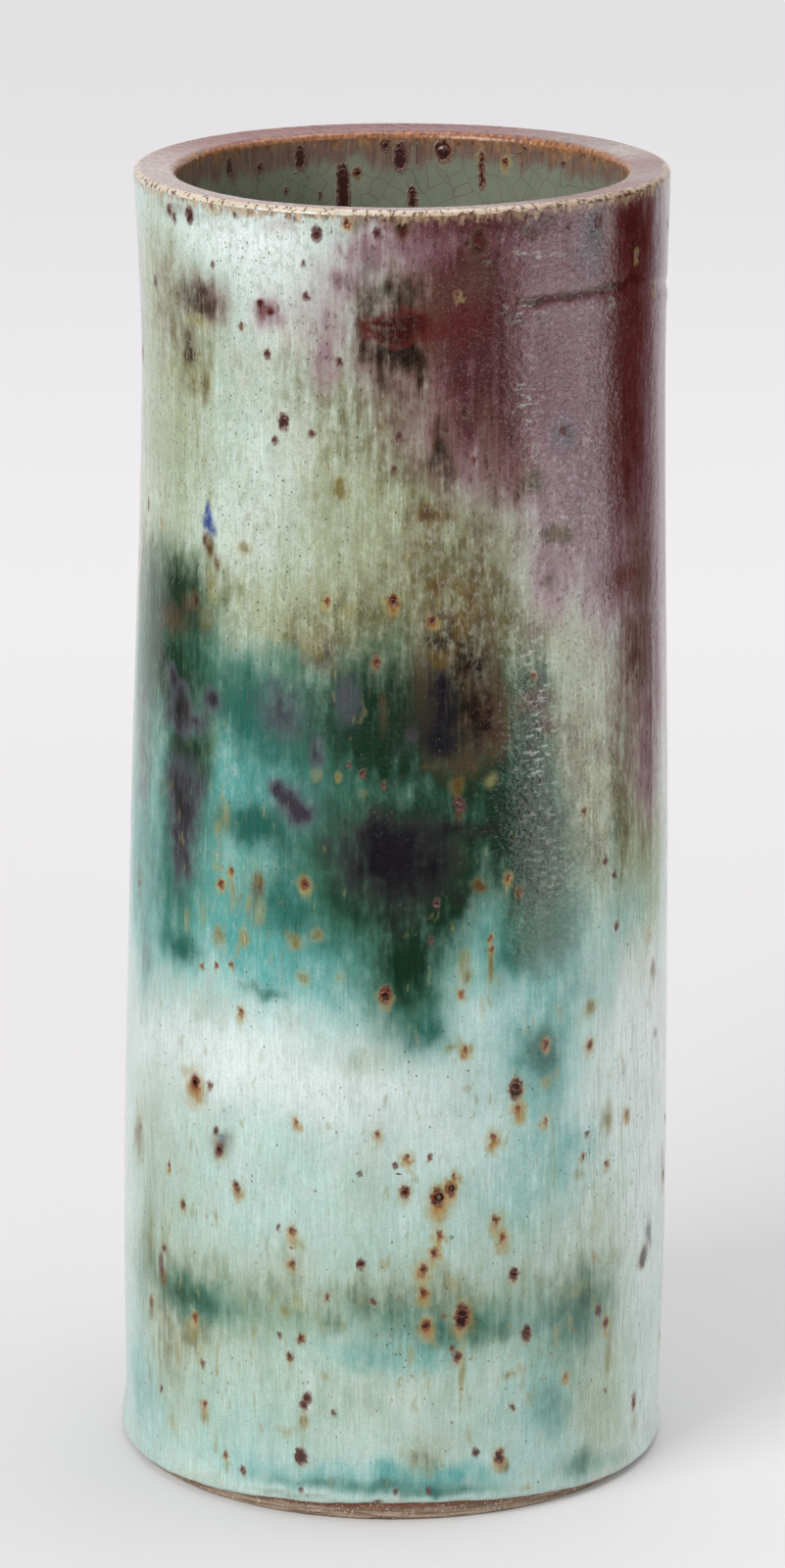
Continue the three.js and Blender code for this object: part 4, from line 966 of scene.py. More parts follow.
def makeInnerSkin():
    def down(wall, coat, rows, turns):
        line = [(wall(h), h) for h in np.linspace(innerSeam, coilTop, rows)]
        for turn in turns[1:]:
            r = form["coilLeg"] - coat
            line.append((hollowAt[0] + r * math.cos(turn), hollowAt[1] + r * math.sin(turn)))
        return line
    rows = round((innerSeam - coilTop) / fineness["innerRowStep"])
    hidden = down(lambda h: clayInner(min(h, outerSeam)) - bond, 0, 10, np.linspace(0, poolTurn, 4))[::-1]
    profile = hidden + down(lambda h: innerFace(bearings, h), innerCoat, rows, steps("coil", 0, poolTurn))
    rings, b, h = ringsOf(profile)
    inside = spotsFromPhoto(innerSpots, clayInner, True)
    inside += spotsAtRandom(9, 46, (-math.pi, math.pi), (20, 250), inside)
    values = spotLayers(b, h, clayInner, inside)
    # how far the mauve band ran down from the lip, in mm
    lipFlow = 6 + 2.5 * softField(b, 0, 3, 50, 501, 2) + 2.5 * softField(b, 60, 16, 50, 503)
    values["mauve"] = smooth(h, innerSeam - lipFlow * 1.5, innerSeam - lipFlow * 0.5)
    values["underLip"] = innerSeam - h
    return skinMesh("inner_skin", rings, {0, len(hidden) - 1, len(hidden), len(profile) - 1}, True, values)


def makePoolSkin():
    low = floorTop + bond
    under, over = form["coilLeg"], form["coilLeg"] - innerCoat
    profile = [(0.0, low), (20, low), (hollowAt[0] - 1, low)]
    for turn in np.linspace(-math.pi / 2, poolTurn, 5):
        profile.append((hollowAt[0] + under * math.cos(turn), hollowAt[1] + under * math.sin(turn)))
    edgeR = hollowAt[0] + over * math.cos(poolTurn)
    creep = hollowAt[1] + over * math.sin(poolTurn) - poolTop  # how far the pool climbs the coil
    firstShown = len(profile)
    for t in steps("poolEdge"):
        profile.append((edgeR - creep * 6 * t, poolTop + creep * (1 - t)**2.2))
    for t in steps("pool")[1:]:
        ripple = 0.05 * softField(bearings, 200 * t, 30, 40, 601) * (1 - t)
        profile.append(((edgeR - creep * 6) * (1 - t), poolTop + ripple))
    rings = ringsOf(profile)[0]
    fromAxis = np.hypot(rings[..., 0], rings[..., 1])
    return closePoles(skinMesh("pool_skin", rings, {firstShown - 1}, False, {"fromAxis": fromAxis}))


# The roughness of the bare clay: depth, how far it is raised, its size around and up, the stride from row
# to row in the noise, and its seed
clayGrit = {
    "rough": (0.10, 0, 4, 50, 0, 701), "grit": (0.07, 0, 1.8, 50, 50, 703),
    "hollow": (0.15, 1, 12, 20, 260, 711), "ring": (0.12, 1, 5, 12, 90, 721),
    "layers": (0.16, 0, 14, 6, 12, 731),
}


def gritAt(key, t=1):
    depth, raised, across, up, stride, seed = clayGrit[key]
    return depth * (softField(bearings, stride * t, across, up, seed, 2) + raised)


def makeFootClay():
    footRadius = clayOuter(bevelHeight) - form["bevelDepth"]
    hollowRadius = footRadius - form["footRingWidth"]
    slopeFrom, recess = hollowRadius - form["recessSlope"], form["recessDepth"]
    rough, grit = gritAt("rough"), gritAt("grit")
    profile = [(0.0, recess)]
    for t in steps("recess")[1:]:  # the hollow under the foot
        profile.append((slopeFrom * t, recess - gritAt("hollow", t) * math.sin(math.pi * t)))
    for t in steps("recessSlope")[1:]:
        profile.append((hollowRadius - form["recessSlope"] * (1 - t), recess * (1 - smooth(t, 0, 1))))
    for t in steps("footRing")[1:]:  # the ring that it stands on
        r = mix(hollowRadius, footRadius - 0.3, t) + rough * t
        profile.append((r, gritAt("ring", t) * math.sin(math.pi * t)))
    for row, t in enumerate(steps("bevel")):
        r = mix(footRadius, clayOuter(bevelHeight), smooth(t, 0, 1)) + rough
        profile.append((r + (grit if row % 2 else -grit) - 0.12, bevelHeight * mix(0.12, 1, t)))
    for h in steps("bareBand", bevelHeight, foot["clayTo"])[1:]:  # the bare band, and on under the glaze
        fade = (foot["clayTo"] - h) / 4
        profile.append((clayOuter(h) - 0.16 + (gritAt("layers", h) + rough) * fade, h))
    wall = clayOuter(floorTop)
    profile += [(wall - 0.05, floorTop), (wall * 0.5, floorTop), (0.0, floorTop)]
    return closePoles(skinMesh("foot_clay", ringsOf(profile)[0], {len(profile) - 3}, False))


def countTriangles(piece):
    print(piece.name, "triangles:", sum(len(face.vertices) - 2 for face in piece.data.polygons))


skins = makeOuterSkin(), makeLipSkin(), makeInnerSkin(), makePoolSkin(), makeFootClay()
outerSkin, lipSkin, innerSkin, poolSkin, footClay = skins
for piece in skins:
    countTriangles(piece)


# Materials


def linear(code):  # an sRGB hex colour, as Blender's linear one
    parts = [int(code[i:i + 2], 16) / 255 for i in (0, 2, 4)]
    return tuple(c / 12.92 if c <= 0.04045 else ((c + 0.055) / 1.055)**2.4 for c in parts) + (1.0,)


def newMaterial(name):
    material = bpy.data.materials.new(name)
    material.use_nodes = True
    material.node_tree.nodes.clear()
    return material, material.node_tree


def add(tree, kind, inputs=(), out=0, **settings):
    # Adds a node, and gives the socket that is wanted from it. Inputs are a row, or a dictionary by number
    # or name, and a colour is its hex.
    fullName = kind.startswith(("Geometry", "Function", "NodeGroup"))
    made = tree.nodes.new(kind if fullName else "ShaderNode" + kind)
    for key, value in settings.items():
        setattr(made, key, value)
    for key, value in inputs.items() if isinstance(inputs, dict) else enumerate(inputs):
        if isinstance(value, bpy.types.NodeSocket):
            tree.links.new(value, made.inputs[key])
        else:
            made.inputs[key].default_value = linear(value) if made.inputs[key].type == "RGBA" else value
    return made.outputs[out] if len(made.outputs) else made


soft = {"interpolation_type": "SMOOTHSTEP"}
colours = {"out": 2, "data_type": "RGBA"}
times, timesPlus, less = {"operation": "MULTIPLY"}, {"operation": "MULTIPLY_ADD"}, {"operation": "SUBTRACT"}
scale, plus, greater = {"operation": "SCALE"}, {"operation": "ADD"}, {"operation": "MAXIMUM"}

grains = {  # the noises that the glazes share: cell across and up in mm, detail, contrast
    "hair": (0.55, 6, 2, 2.2), "streak": (1.5, 13, 3, 2.4), "sheet": (5, 34, 3, 2.4),
    "mottle": (1.7, 2.4, 4, 2.4), "cloud": (10, 14, 3, 2.2), "drift": (22, 30, 3, 2.4),
    "grain": (0.5, 0.6, 2, 2.2), "smear": (2.4, 8, 3, 2.4), "fleck": (1.0, 1.9, 3, 2.3),
    "pock": (1.2, 1.0, 3, 2.6), "felt": (0.36, 0.46, 1, 2.2), "comb": (0.42, 15, 2, 2.2),
    "peel": (1.15, 1.0, 2, 2.0), "torn": (2.6, 1.1, 4, 2.4), "blot": (3.4, 4.8, 5, 2.6),
}


def perCell(across, up):  # the scale that makes a texture's cells this many mm
    return 1 / (across * mm), 1 / (across * mm), 1 / (up * mm)


def patterns(tree, noises=grains, carried=()):  # noises, 0 to 1, on the object's metres, and what it carries
    found = {"place": add(tree, "TexCoord", out=3)}
    for number, (key, (across, up, detail, contrast)) in enumerate(grains.items()):
        if key in noises:
            scaled = add(tree, "Mapping", {0: found["place"], 1: (7.0 * number, 3.0 * number, 5.0 * number),
                                           3: perCell(across, up)})
            noise = add(tree, "TexNoise", {
                "Vector": scaled, "Scale": 1.0, "Detail": detail, "Roughness": 0.55})
            found[key] = add(tree, "MapRange", (noise, 0.5 - 0.5 / contrast, 0.5 + 0.5 / contrast))
    for key in carried:
        found[key] = add(tree, "Attribute", out=2, attribute_name=key, attribute_type="GEOMETRY")
    return found


def brush(tree, colour, tint, follows, start, full, strength=1.0, where=None):
    # Lays a tint over a colour where a value goes from start to full
    mask = add(tree, "MapRange", (follows, start, full, 0.0, strength), **soft)
    if where:
        mask = add(tree, "Math", (mask, where), **times)
    return add(tree, "Mix", {0: mask, 6: colour, 7: tint}, **colours)


# Oxides: colour where thin and where deep, the wash amounts between which it shows, and how far the streaks,
# the blots and the sheets break it up
oxides = {
    "chalk": ("cfdbd7", "e0e8e6", 0.08, 0.85, 0.20, 0.30, 0.25),
    "celadon": ("b6c2ad", "a2ae90", 0.05, 0.85, 0.30, 0.30, 0.30),
    "turquoise": ("9ccac5", "529f9b", 0.05, 1.00, 0.12, 0.25, 0.28),
    "olive": ("989b76", "666340", 0.08, 1.00, 0.45, 0.45, 0.30),
    "teal": ("589286", "255e53", 0.05, 1.00, 0.12, 0.22, 0.18),
    "mauve": ("9c8588", "745660", 0.05, 0.70, 0.40, 0.30, 0.20),
    "crimson": ("72454b", "4b2427", 0.08, 0.85, 0.35, 0.35, 0.25),
    "bottle": ("3f6a52", "142f1f", 0.08, 1.00, 0.16, 0.22, 0.16),
    "slate": ("5b5d66", "37333b", 0.08, 0.95, 0.20, 0.50, 0.15),
    "umber": ("6a5038", "20140d", 0.08, 0.95, 0.45, 0.50, 0.20),
    "oxblood": ("5d211c", "3a0f0c", 0.10, 0.75, 0.25, 0.35, 0.15),
    "ink": ("2a2b26", "19161d", 0.10, 0.85, 0.20, 0.22, 0.12),
    "ochre": ("9c9a68", "766a38", 0.08, 1.05, 0.40, 0.50, 0.15),
    "amber": ("76602f", "50340f", 0.10, 1.00, 0.35, 0.45, 0.10),
    "cobalt": ("5a6f9c", "2f4580", 0.12, 0.80, 0.30, 0.40, 0.10),
}


def layOxides(tree, p, colour):  # brushes the oxides over a colour, in the order in which they are listed
    masks = {}
    for oxide, (thin, deep, low, high, *shares) in oxides.items():
        shake = 1 - sum(shares) / 2
        for noise, share in zip(("streak", "blot", "sheet"), shares):
            shake = add(tree, "Math", (p[noise], share, shake), **timesPlus)
        broken = add(tree, "Math", (p[oxide], shake), **times)
        masks[oxide] = add(tree, "MapRange", (broken, low, high), **soft)
        depth = add(tree, "MapRange", (broken, 0.35, 1.0), **soft)
        hue = add(tree, "Mix", {0: depth, 6: thin, 7: deep}, **colours)
        colour = add(tree, "Mix", {0: masks[oxide], 6: colour, 7: hue}, **colours)
    return colour, masks


iron = {
    "fringe": "a3a371", "halo": "ab8044", "ring": "7a3c1c",
    "blot": "5c3534", "burnt": "3d1f1e", "core": "22110d",
}


def bent(tree, p, cell, amount):  # a wandering of places, in mm
    ripple = add(tree, "Mapping", {0: p["place"], 3: perCell(cell, 1.3 * cell)})
    noise = add(tree, "TexNoise", {"Vector": ripple, "Scale": 1.0, "Detail": 3.0}, out=1)
    centred = add(tree, "VectorMath", (noise, (0.5, 0.5, 0.5)), **less)
    return add(tree, "VectorMath", {0: centred, "Scale": amount}, **scale)


def spotDistance(tree, across, up, wander, squash):
    at = add(tree, "VectorMath", (add(tree, "CombineXYZ", (across, up)), wander), **plus)
    at = add(tree, "VectorMath", (at, (1, squash, 0)), **times)
    return add(tree, "VectorMath", [at], out=1, operation="LENGTH")


def layIron(tree, p, colour, layers=3):  # boiled iron: a dark core in a rusty ring, and a halo hanging below
    wide, slight = bent(tree, p, 1.8, 4.6), bent(tree, p, 0.9, 2.1)
    thinned = add(tree, "MapRange", {0: p["smear"], 3: 0.5, 4: 1.0})
    relief = None
    for number in range(layers):
        parts = []
        for key, out in (("spotSize", 1), ("spotPlace", 1), ("spotRust", 2)):
            value = add(tree, "Attribute", out=out, attribute_name=f"{key}{number}",
                        attribute_type="GEOMETRY")
            parts += [value] if out == 2 else add(tree, "SeparateXYZ", [value]).node.outputs
        core, halo, tail, across, up, away, rust = parts
        here = add(tree, "MapRange", (away, 0.6, 0.1), **soft)
        sunk = add(tree, "Math", (halo, 0.5, up), **timesPlus)
        far = spotDistance(tree, across, sunk, wide, 0.62)
        far = add(tree, "Math", (far, halo), operation="DIVIDE")
        along = add(tree, "Math", (up, add(tree, "Math", (tail, -1.0), **times)), **greater)
        along = add(tree, "Math", (along, 0.0), operation="MINIMUM")
        off = add(tree, "Math", (up, along), **less)
        edge = spotDistance(tree, across, off, slight, 0.72)
        edge = add(tree, "Math", (edge, core), **less)
        rusty = add(tree, "Math", (rust, here), **times)
        solid = add(tree, "Math", (thinned, rusty), **times)
        ring = add(tree, "Mix", {0: rust, 6: iron["blot"], 7: iron["ring"]}, **colours)
        heart = add(tree, "Mix", {0: rust, 6: iron["burnt"], 7: iron["core"]}, **colours)
        for mark in [  # colour, what it follows, from, to, how strong, where
            (iron["fringe"], far, 1.6, 0.7, 0.50, solid), (iron["halo"], far, 1.15, 0.2, 0.88, solid),
            (iron["ring"], far, 0.6, 0.0, 0.5, rusty),
            (ring, edge, 0.7, -0.05, 0.9, here), (heart, edge, 0.15, -0.5, 0.96, here),
        ]:
            colour = brush(tree, colour, *mark)
        rim = add(tree, "MapRange", (edge, 0.7, 0.15, 0.0, 0.07), **soft)
        pit = add(tree, "MapRange", (edge, 0.15, -0.35, 0.0, -0.2), **soft)
        bump = add(tree, "Math", (add(tree, "Math", (rim, pit), **plus), here), **times)
        relief = add(tree, "Math", (relief, bump), **plus) if relief else bump
    return colour, relief


def finishGlaze(tree, colour, roughness, height, ior=1.5):
    normal = add(tree, "Bump", {"Strength": 1.0, "Distance": mm, "Height": height})
    shader = add(tree, "BsdfPrincipled", {
        "Base Color": colour, "Roughness": roughness, "IOR": ior, "Normal": normal})
    add(tree, "OutputMaterial", [shader])


def speckle(tree, p):  # fine dark specks where the glaze boiled: mask and colour
    cells = add(tree, "Mapping", {0: p["place"], 3: perCell(0.95, 1.3)})
    speck = add(tree, "TexVoronoi", {"Vector": cells, "Scale": 1.0}).node.outputs
    dice = add(tree, "SeparateColor", [speck["Color"]]).node.outputs
    size = add(tree, "Math", (dice[0], 0.26), **times)
    share = add(tree, "Math", (p["peppered"], 0.85, 0.04), **timesPlus)
    there = add(tree, "Math", (dice[1], share), operation="LESS_THAN")
    inside = add(tree, "Math", (size, speck["Distance"]), **less)
    dot = add(tree, "MapRange", (inside, -0.10, 0.12, 0.0, 0.8), **soft)
    tint = add(tree, "Mix", {0: dice[2], 6: "40351f", 7: "4f5a38"}, **colours)
    return add(tree, "Math", (dot, there), **times), tint


def outerColour(tree, p):  # the colour of the outer glaze, how rough it is and its relief in mm
    colour = add(tree, "Mix", {0: p["drift"], 6: "cbd8d1", 7: "a6c9c1"}, **colours)
    colour = brush(tree, colour, "c9cdb6", p["cloud"], 0.45, 1.0, 0.6)
    colour = brush(tree, colour, "c6c0c0", p["blot"], 0.4, 0.0, 0.55)
    colour, masks = layOxides(tree, p, colour)

    def strongest(first, *others):
        found = masks[first]
        for other in others:
            found = add(tree, "Math", (found, masks[other]), **greater)
        return found

    reds = strongest("mauve", "crimson")
    pale, bright, unburnt = [add(tree, "Math", (1.0, strongest(*names)), **less) for names in (
        ("mauve", "crimson", "ink", "slate", "bottle", "teal"), ("ink", "mauve", "crimson"),
        ("umber", "oxblood", "ink"))]
    glintedReds = add(tree, "Math", (reds, unburnt), **times)
    aloft = add(tree, "SeparateXYZ", [p["place"]], out=2)
    aloft = add(tree, "MapRange", (aloft, 0.12, 0.17, 0.3, 1.0), **soft)
    dusty = add(tree, "Math", (pale, aloft), **times)
    bled = add(tree, "Math", (p["stained"], 0.34, p["smear"]), **timesPlus)
    rusted = add(tree, "Math", (p["stained"], 0.26, p["fleck"]), **timesPlus)
    for mark in [  # colour, what it follows, from, to, how strong, where
        # the mottling of ash and iron all over
        ("929880", p["mottle"], 0.45, 1.0, 0.5, dusty), ("d8ded4", p["fleck"], 0.5, 0.95, 0.22, dusty),
        ("666650", p["felt"], 0.26, 0.05, 0.5, dusty),
        # ochre smears and brown flecks, where the iron bled
        ("98915c", bled, 0.98, 1.22, 0.5, bright), ("85683c", rusted, 1.06, 1.2, 0.7, bright),
        # the combed look of a glaze that ran
        ("7d7464", p["comb"], 0.55, 0.95, 0.55, p["combed"]), ("d3dcd4", p["hair"], 0.7, 1.0, 0.14, pale),
        # whitish flecks in the reds, painted glints of the light on the pebbled glass, and dark pits in the
        # reds
        ("b59c9c", p["felt"], 0.7, 1.0, 0.3, glintedReds), ("42211f", p["fleck"], 0.36, 0.05, 0.65, reds),
        # torn pale flecks: painted glints of the side light on the pebbled glaze
        ("b9c1b4", p["torn"], 0.62, 0.80, 0.8, p["paintedGlints"]),
        # the pebbled skin where the glass is thickest: dark pits, and pale pocks that are painted glints of
        # the side light
        ("54323a", p["pock"], 0.30, 0.08, 0.6, p["dimpled"]),
        ("b7a6ad", p["pock"], 0.66, 0.96, 0.4, p["dimpled"]),
    ]:
        colour = brush(tree, colour, *mark)
    dot, dotColour = speckle(tree, p)
    colour = add(tree, "Mix", {0: dot, 6: colour, 7: dotColour}, **colours)
    colour, relief = layIron(tree, p, colour)
    shade = add(tree, "MapRange", {0: p["hair"], 3: 0.88, 4: 1.08})
    for noise, darkest, lightest in (("grain", 0.90, 1.06), ("cloud", 1.06, 0.90)):
        factor = add(tree, "MapRange", {0: p[noise], 3: darkest, 4: lightest})
        shade = add(tree, "Math", (shade, factor), **times)
    colour = add(tree, "VectorMath", {0: colour, "Scale": shade}, **scale)
    pebbles = add(tree, "Math", (p["dimpled"], p["pock"]), **times)
    dimples = add(tree, "Math", (p["dimpled"], 0.13, 0.018), **timesPlus)
    height = relief
    for value, depth in [(p["mottle"], 0.03), (pebbles, 0.07), (p["peel"], dimples), (p["grain"], 0.008),
                         (dot, -0.03)]:
        height = add(tree, "Math", (value, depth, height), **timesPlus)
    return colour, add(tree, "MapRange", {0: p["mottle"], 3: 0.10, 4: 0.20}), height


def fluxedGlaze():
    # Copper-bearing felspathic glaze, thrown about by a reducing fire: a hard glass that shines but is
    # dimpled like orange peel, green where the copper stayed oxidised and red where it didn't.
    material, tree = newMaterial("flambeStonewareGlaze")
    p = patterns(tree, carried=washes)
    colour, rough, height = outerColour(tree, p)
    # thin and iron-stained where it meets the lip
    up = add(tree, "SeparateXYZ", [p["place"]], out=2)
    ragged = add(tree, "Math", (p["fleck"], 3.8 * mm, up), **timesPlus)
    brown = add(tree, "Mix", {0: p["streak"], 6: "5d3b26", 7: "c3a988"}, **colours)
    finishGlaze(tree, brush(tree, colour, brown, ragged, 0.2985, 0.3010, 0.85), rough, height)
    return material


lipTones = {  # deep, pale, how strong
    "lipRed": ("571d19", "8c443e", 0.95), "lipGrey": ("74766c", "9a928c", 0.85),
    # the pale tone is partly a painted sheen of the key light
    "lipPaleAndSheen": ("b2a39e", "d0c6c0", 0.8),
}


def lipGlaze():
    # The same glaze, broken thin over the lip: cream along its outer edge, iron brown along its inner one
    material, tree = newMaterial("lipStonewareGlaze")
    p = patterns(tree, carried=[*washes, *lipTones, "lipWalk"])
    wall, rough, height = outerColour(tree, p)
    top = add(tree, "Mix", {0: p["mottle"], 6: "6c3636", 7: "965a59"}, **colours)
    for tint, (deep, pale, strength) in lipTones.items():
        shake = add(tree, "MapRange", {0: p["mottle"], 3: 0.5 * strength, 4: 1.3 * strength})
        amount = add(tree, "Math", (p[tint], shake), use_clamp=True, **times)
        hue = add(tree, "Mix", {0: p["fleck"], 6: deep, 7: pale}, **colours)
        top = add(tree, "Mix", {0: amount, 6: top, 7: hue}, **colours)
    jitter = add(tree, "Math", (p["mottle"], 1.7, p["lipWalk"]), **timesPlus)
    jitter = add(tree, "Math", (p["felt"], 0.5, jitter), **timesPlus)
    # the two edges, where clay and iron show through thin glass
    # the cream is paler under the pale tint, which is partly a painted sheen
    creamTone = add(tree, "Mix", {0: p["lipPaleAndSheen"], 6: "a98a68", 7: "dccdb9"}, **colours)
    cream = add(tree, "Mix", {0: p["cloud"], 6: creamTone, 7: "c0a88c"}, **colours)
    outer = add(tree, "Math", (jitter, -2.1), **plus)
    outer = add(tree, "Math", [outer], operation="ABSOLUTE")
    nearEdge = add(tree, "MapRange", (p["lipWalk"], 3.2, 1.8, 0.12, 1.0))
    brown = add(tree, "Mix", {0: p["fleck"], 6: "5e2a12", 7: "bd7f4a"}, **colours)
    colour = wall
    for mark in [(top, jitter, 2.2, 3.4), (cream, outer, 1.25, 0.45, 0.9),
                 ("54331f", p["fleck"], 0.44, 0.22, 0.9, nearEdge), (brown, jitter, 9.9, 10.9, 0.92)]:
        colour = brush(tree, colour, *mark)
    finishGlaze(tree, colour, rough, add(tree, "Math", (p["mottle"], 0.10, height), **timesPlus))
    return material


def crackle(tree, p, cell, wander):  # the fine net of cracks in a celadon, 0 to 1
    bend = add(tree, "TexNoise", {"Vector": p["place"], "Scale": 220.0}, out=1)
    bend = add(tree, "VectorMath", {0: bend, "Scale": wander * mm}, **scale)
    cells = add(tree, "VectorMath", (p["place"], bend), **plus)
    cells = add(tree, "VectorMath", {0: cells, "Scale": 1 / (cell * mm)}, **scale)
    edge = add(tree, "TexVoronoi", {"Vector": cells, "Scale": 1.0}, feature="DISTANCE_TO_EDGE")
    return add(tree, "MapRange", (edge, 0.045, 0.0, 0.0, 1.0), **soft)


def celadonGlaze():
    # Grey-green celadon with a fine crackle, under a band that ran down from the lip
    material, tree = newMaterial("crackledCeladonGlaze")
    noises = ["hair", "streak", "mottle", "cloud", "smear", "fleck", "comb", "blot"]
    p = patterns(tree, noises, ["mauve", "underLip"])
    base = add(tree, "Mix", {0: p["cloud"], 6: "6f7467", 7: "8b8f7c"}, **colours)
    base = add(tree, "Mix", {0: p["fleck"], 6: base, 7: "7d8271"}, **colours)
    line = crackle(tree, p, 4.2, 1.6)
    shown = add(tree, "Math", (line, 0.35), **times)
    colour = add(tree, "Mix", {0: shown, 6: base, 7: "3e3d33"}, **colours)
    band = add(tree, "Math", (p["mauve"], p["streak"], p["mauve"]), **timesPlus)
    plum = add(tree, "Mix", {0: p["hair"], 6: "5c3833", 7: "8a6359"}, **colours)
    colour = brush(tree, colour, plum, band, 0.35, 1.6, 0.8)
    # combed fringes of iron and cream under the lip
    fall = add(tree, "Math", (p["comb"], 4.5, p["underLip"]), **timesPlus)
    fall = add(tree, "Math", (p["blot"], 3.0, fall), **timesPlus)
    fringe = add(tree, "Mix", {0: p["mottle"], 6: "4f2617", 7: "b58a60"}, **colours)
    colour = brush(tree, colour, fringe, fall, 6.6, 3.0, 0.92)
    colour, height = layIron(tree, p, colour)
    for value, depth in ((p["mottle"], 0.03), (line, -0.010)):
        height = add(tree, "Math", (value, depth, height), **timesPlus)
    finishGlaze(tree, colour, 0.14, height)
    return material


def poolGlaze():
    # The same celadon lying deep on the floor, darker and glassier for its depth
    material, tree = newMaterial("pooledCeladonGlaze")
    p = patterns(tree, ["mottle", "cloud"], ["fromAxis"])
    deep = add(tree, "MapRange", (p["fromAxis"], 50.0, 30.0), **soft)
    base = add(tree, "Mix", {0: deep, 6: "86917e", 7: "52705f"}, **colours)
    base = add(tree, "Mix", {0: p["cloud"], 6: base, 7: "647f6d"}, **colours)
    line = add(tree, "Math", (crackle(tree, p, 5.0, 1.6), 0.4), **times)
    colour = add(tree, "Mix", {0: line, 6: base, 7: "38453b"}, **colours)
    colour = brush(tree, colour, "4a2c18", p["mottle"], 0.90, 0.99, 0.8)
    finishGlaze(tree, colour, 0.09, add(tree, "Math", (p["mottle"], 0.02), **times))
    return material


def stonewareClay():
    # Grogged stoneware fired grey-brown: matt, gritty, toasted where the flame touched its edge
    material, tree = newMaterial("bareStonewareClay")
    p = patterns(tree, ["mottle", "cloud", "grain"])
    base = add(tree, "Mix", {0: p["mottle"], 6: "a8937f", 7: "84705e"}, **colours)
    base = add(tree, "Mix", {0: p["cloud"], 6: base, 7: "b39f89"}, **colours)
    layers = add(tree, "Mapping", {0: p["place"], 3: perCell(9, 0.5)})
    strata = add(tree, "TexNoise", {"Vector": layers, "Scale": 1.0, "Detail": 2.0})
    strata = add(tree, "MapRange", (strata, 0.4, 0.62))
    base = add(tree, "Mix", {0: strata, 6: base, 7: "76604f"}, **colours)
    up = add(tree, "SeparateXYZ", [p["place"]], out=2)
    toast = add(tree, "Math", (p["mottle"], 1.2 * mm, up), **timesPlus)
    base = brush(tree, base, "7a4630", toast, 0.0026, 0.0040, 0.75)
    grog = add(tree, "MapRange", (p["grain"], 0.72, 0.9, 0.0, 0.7))
    colour = add(tree, "Mix", {0: grog, 6: base, 7: "d8cab6"}, **colours)
    height = add(tree, "Math", (p["grain"], 0.10), **times)
    finishGlaze(tree, colour, 0.85, add(tree, "Math", (strata, 0.07, height), **timesPlus), 1.45)
    return material


def clothe(piece, material):
    piece.data.materials.clear()
    piece.data.materials.append(material)


clay = stonewareClay()
for piece, material in zip(skins, (fluxedGlaze(), lipGlaze(), celadonGlaze(), poolGlaze(), clay)):
    clothe(piece, material)
for name in ("clay_wall", "luting_slip", "corner_coil"):
    clothe(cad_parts[name], clay)
print("materials laid")

# Iron that boiled: low glassy rings about a crater, and two that never burst

blister = {
    "smallest": 2.4, "spread": 0.85, "rimHeight": 0.17, "craterDepth": 0.21, "root": 0.6, "variation": 0.18,
    "segments": 18, "rings": 10, "seed": 7, "bedded": 0.04, "unbroken": ("dome", "blister"),
}


def burstIron():
    # Iron oxide melted to a dark glass: near black in its pit, red brown where the rim is thin, and pinkish
    # where it is bare
    material, tree = newMaterial("burstIronGlass")
    p = patterns(tree, ["fleck"], ["rustiness", "fromCentre"])
    fromCentre = add(tree, "Math", (p["fleck"], 0.35, p["fromCentre"]), **timesPlus)
    pit = add(tree, "Mix", {0: p["rustiness"], 6: iron["burnt"], 7: iron["core"]}, **colours)
    bare = add(tree, "MapRange", (p["rustiness"], 0.15, 0.4, 0.4, 0.0))
    pit = brush(tree, pit, "a98f86", fromCentre, 0.6, 0.35, 1.0, bare)
    rim = add(tree, "Mix", {0: p["rustiness"], 6: iron["blot"], 7: iron["ring"]}, **colours)
    colour = brush(tree, pit, rim, fromCentre, 0.7, 1.15)
    finishGlaze(tree, colour, 0.14, add(tree, "Math", (p["fleck"], 0.03), **times), 1.52)
    return material


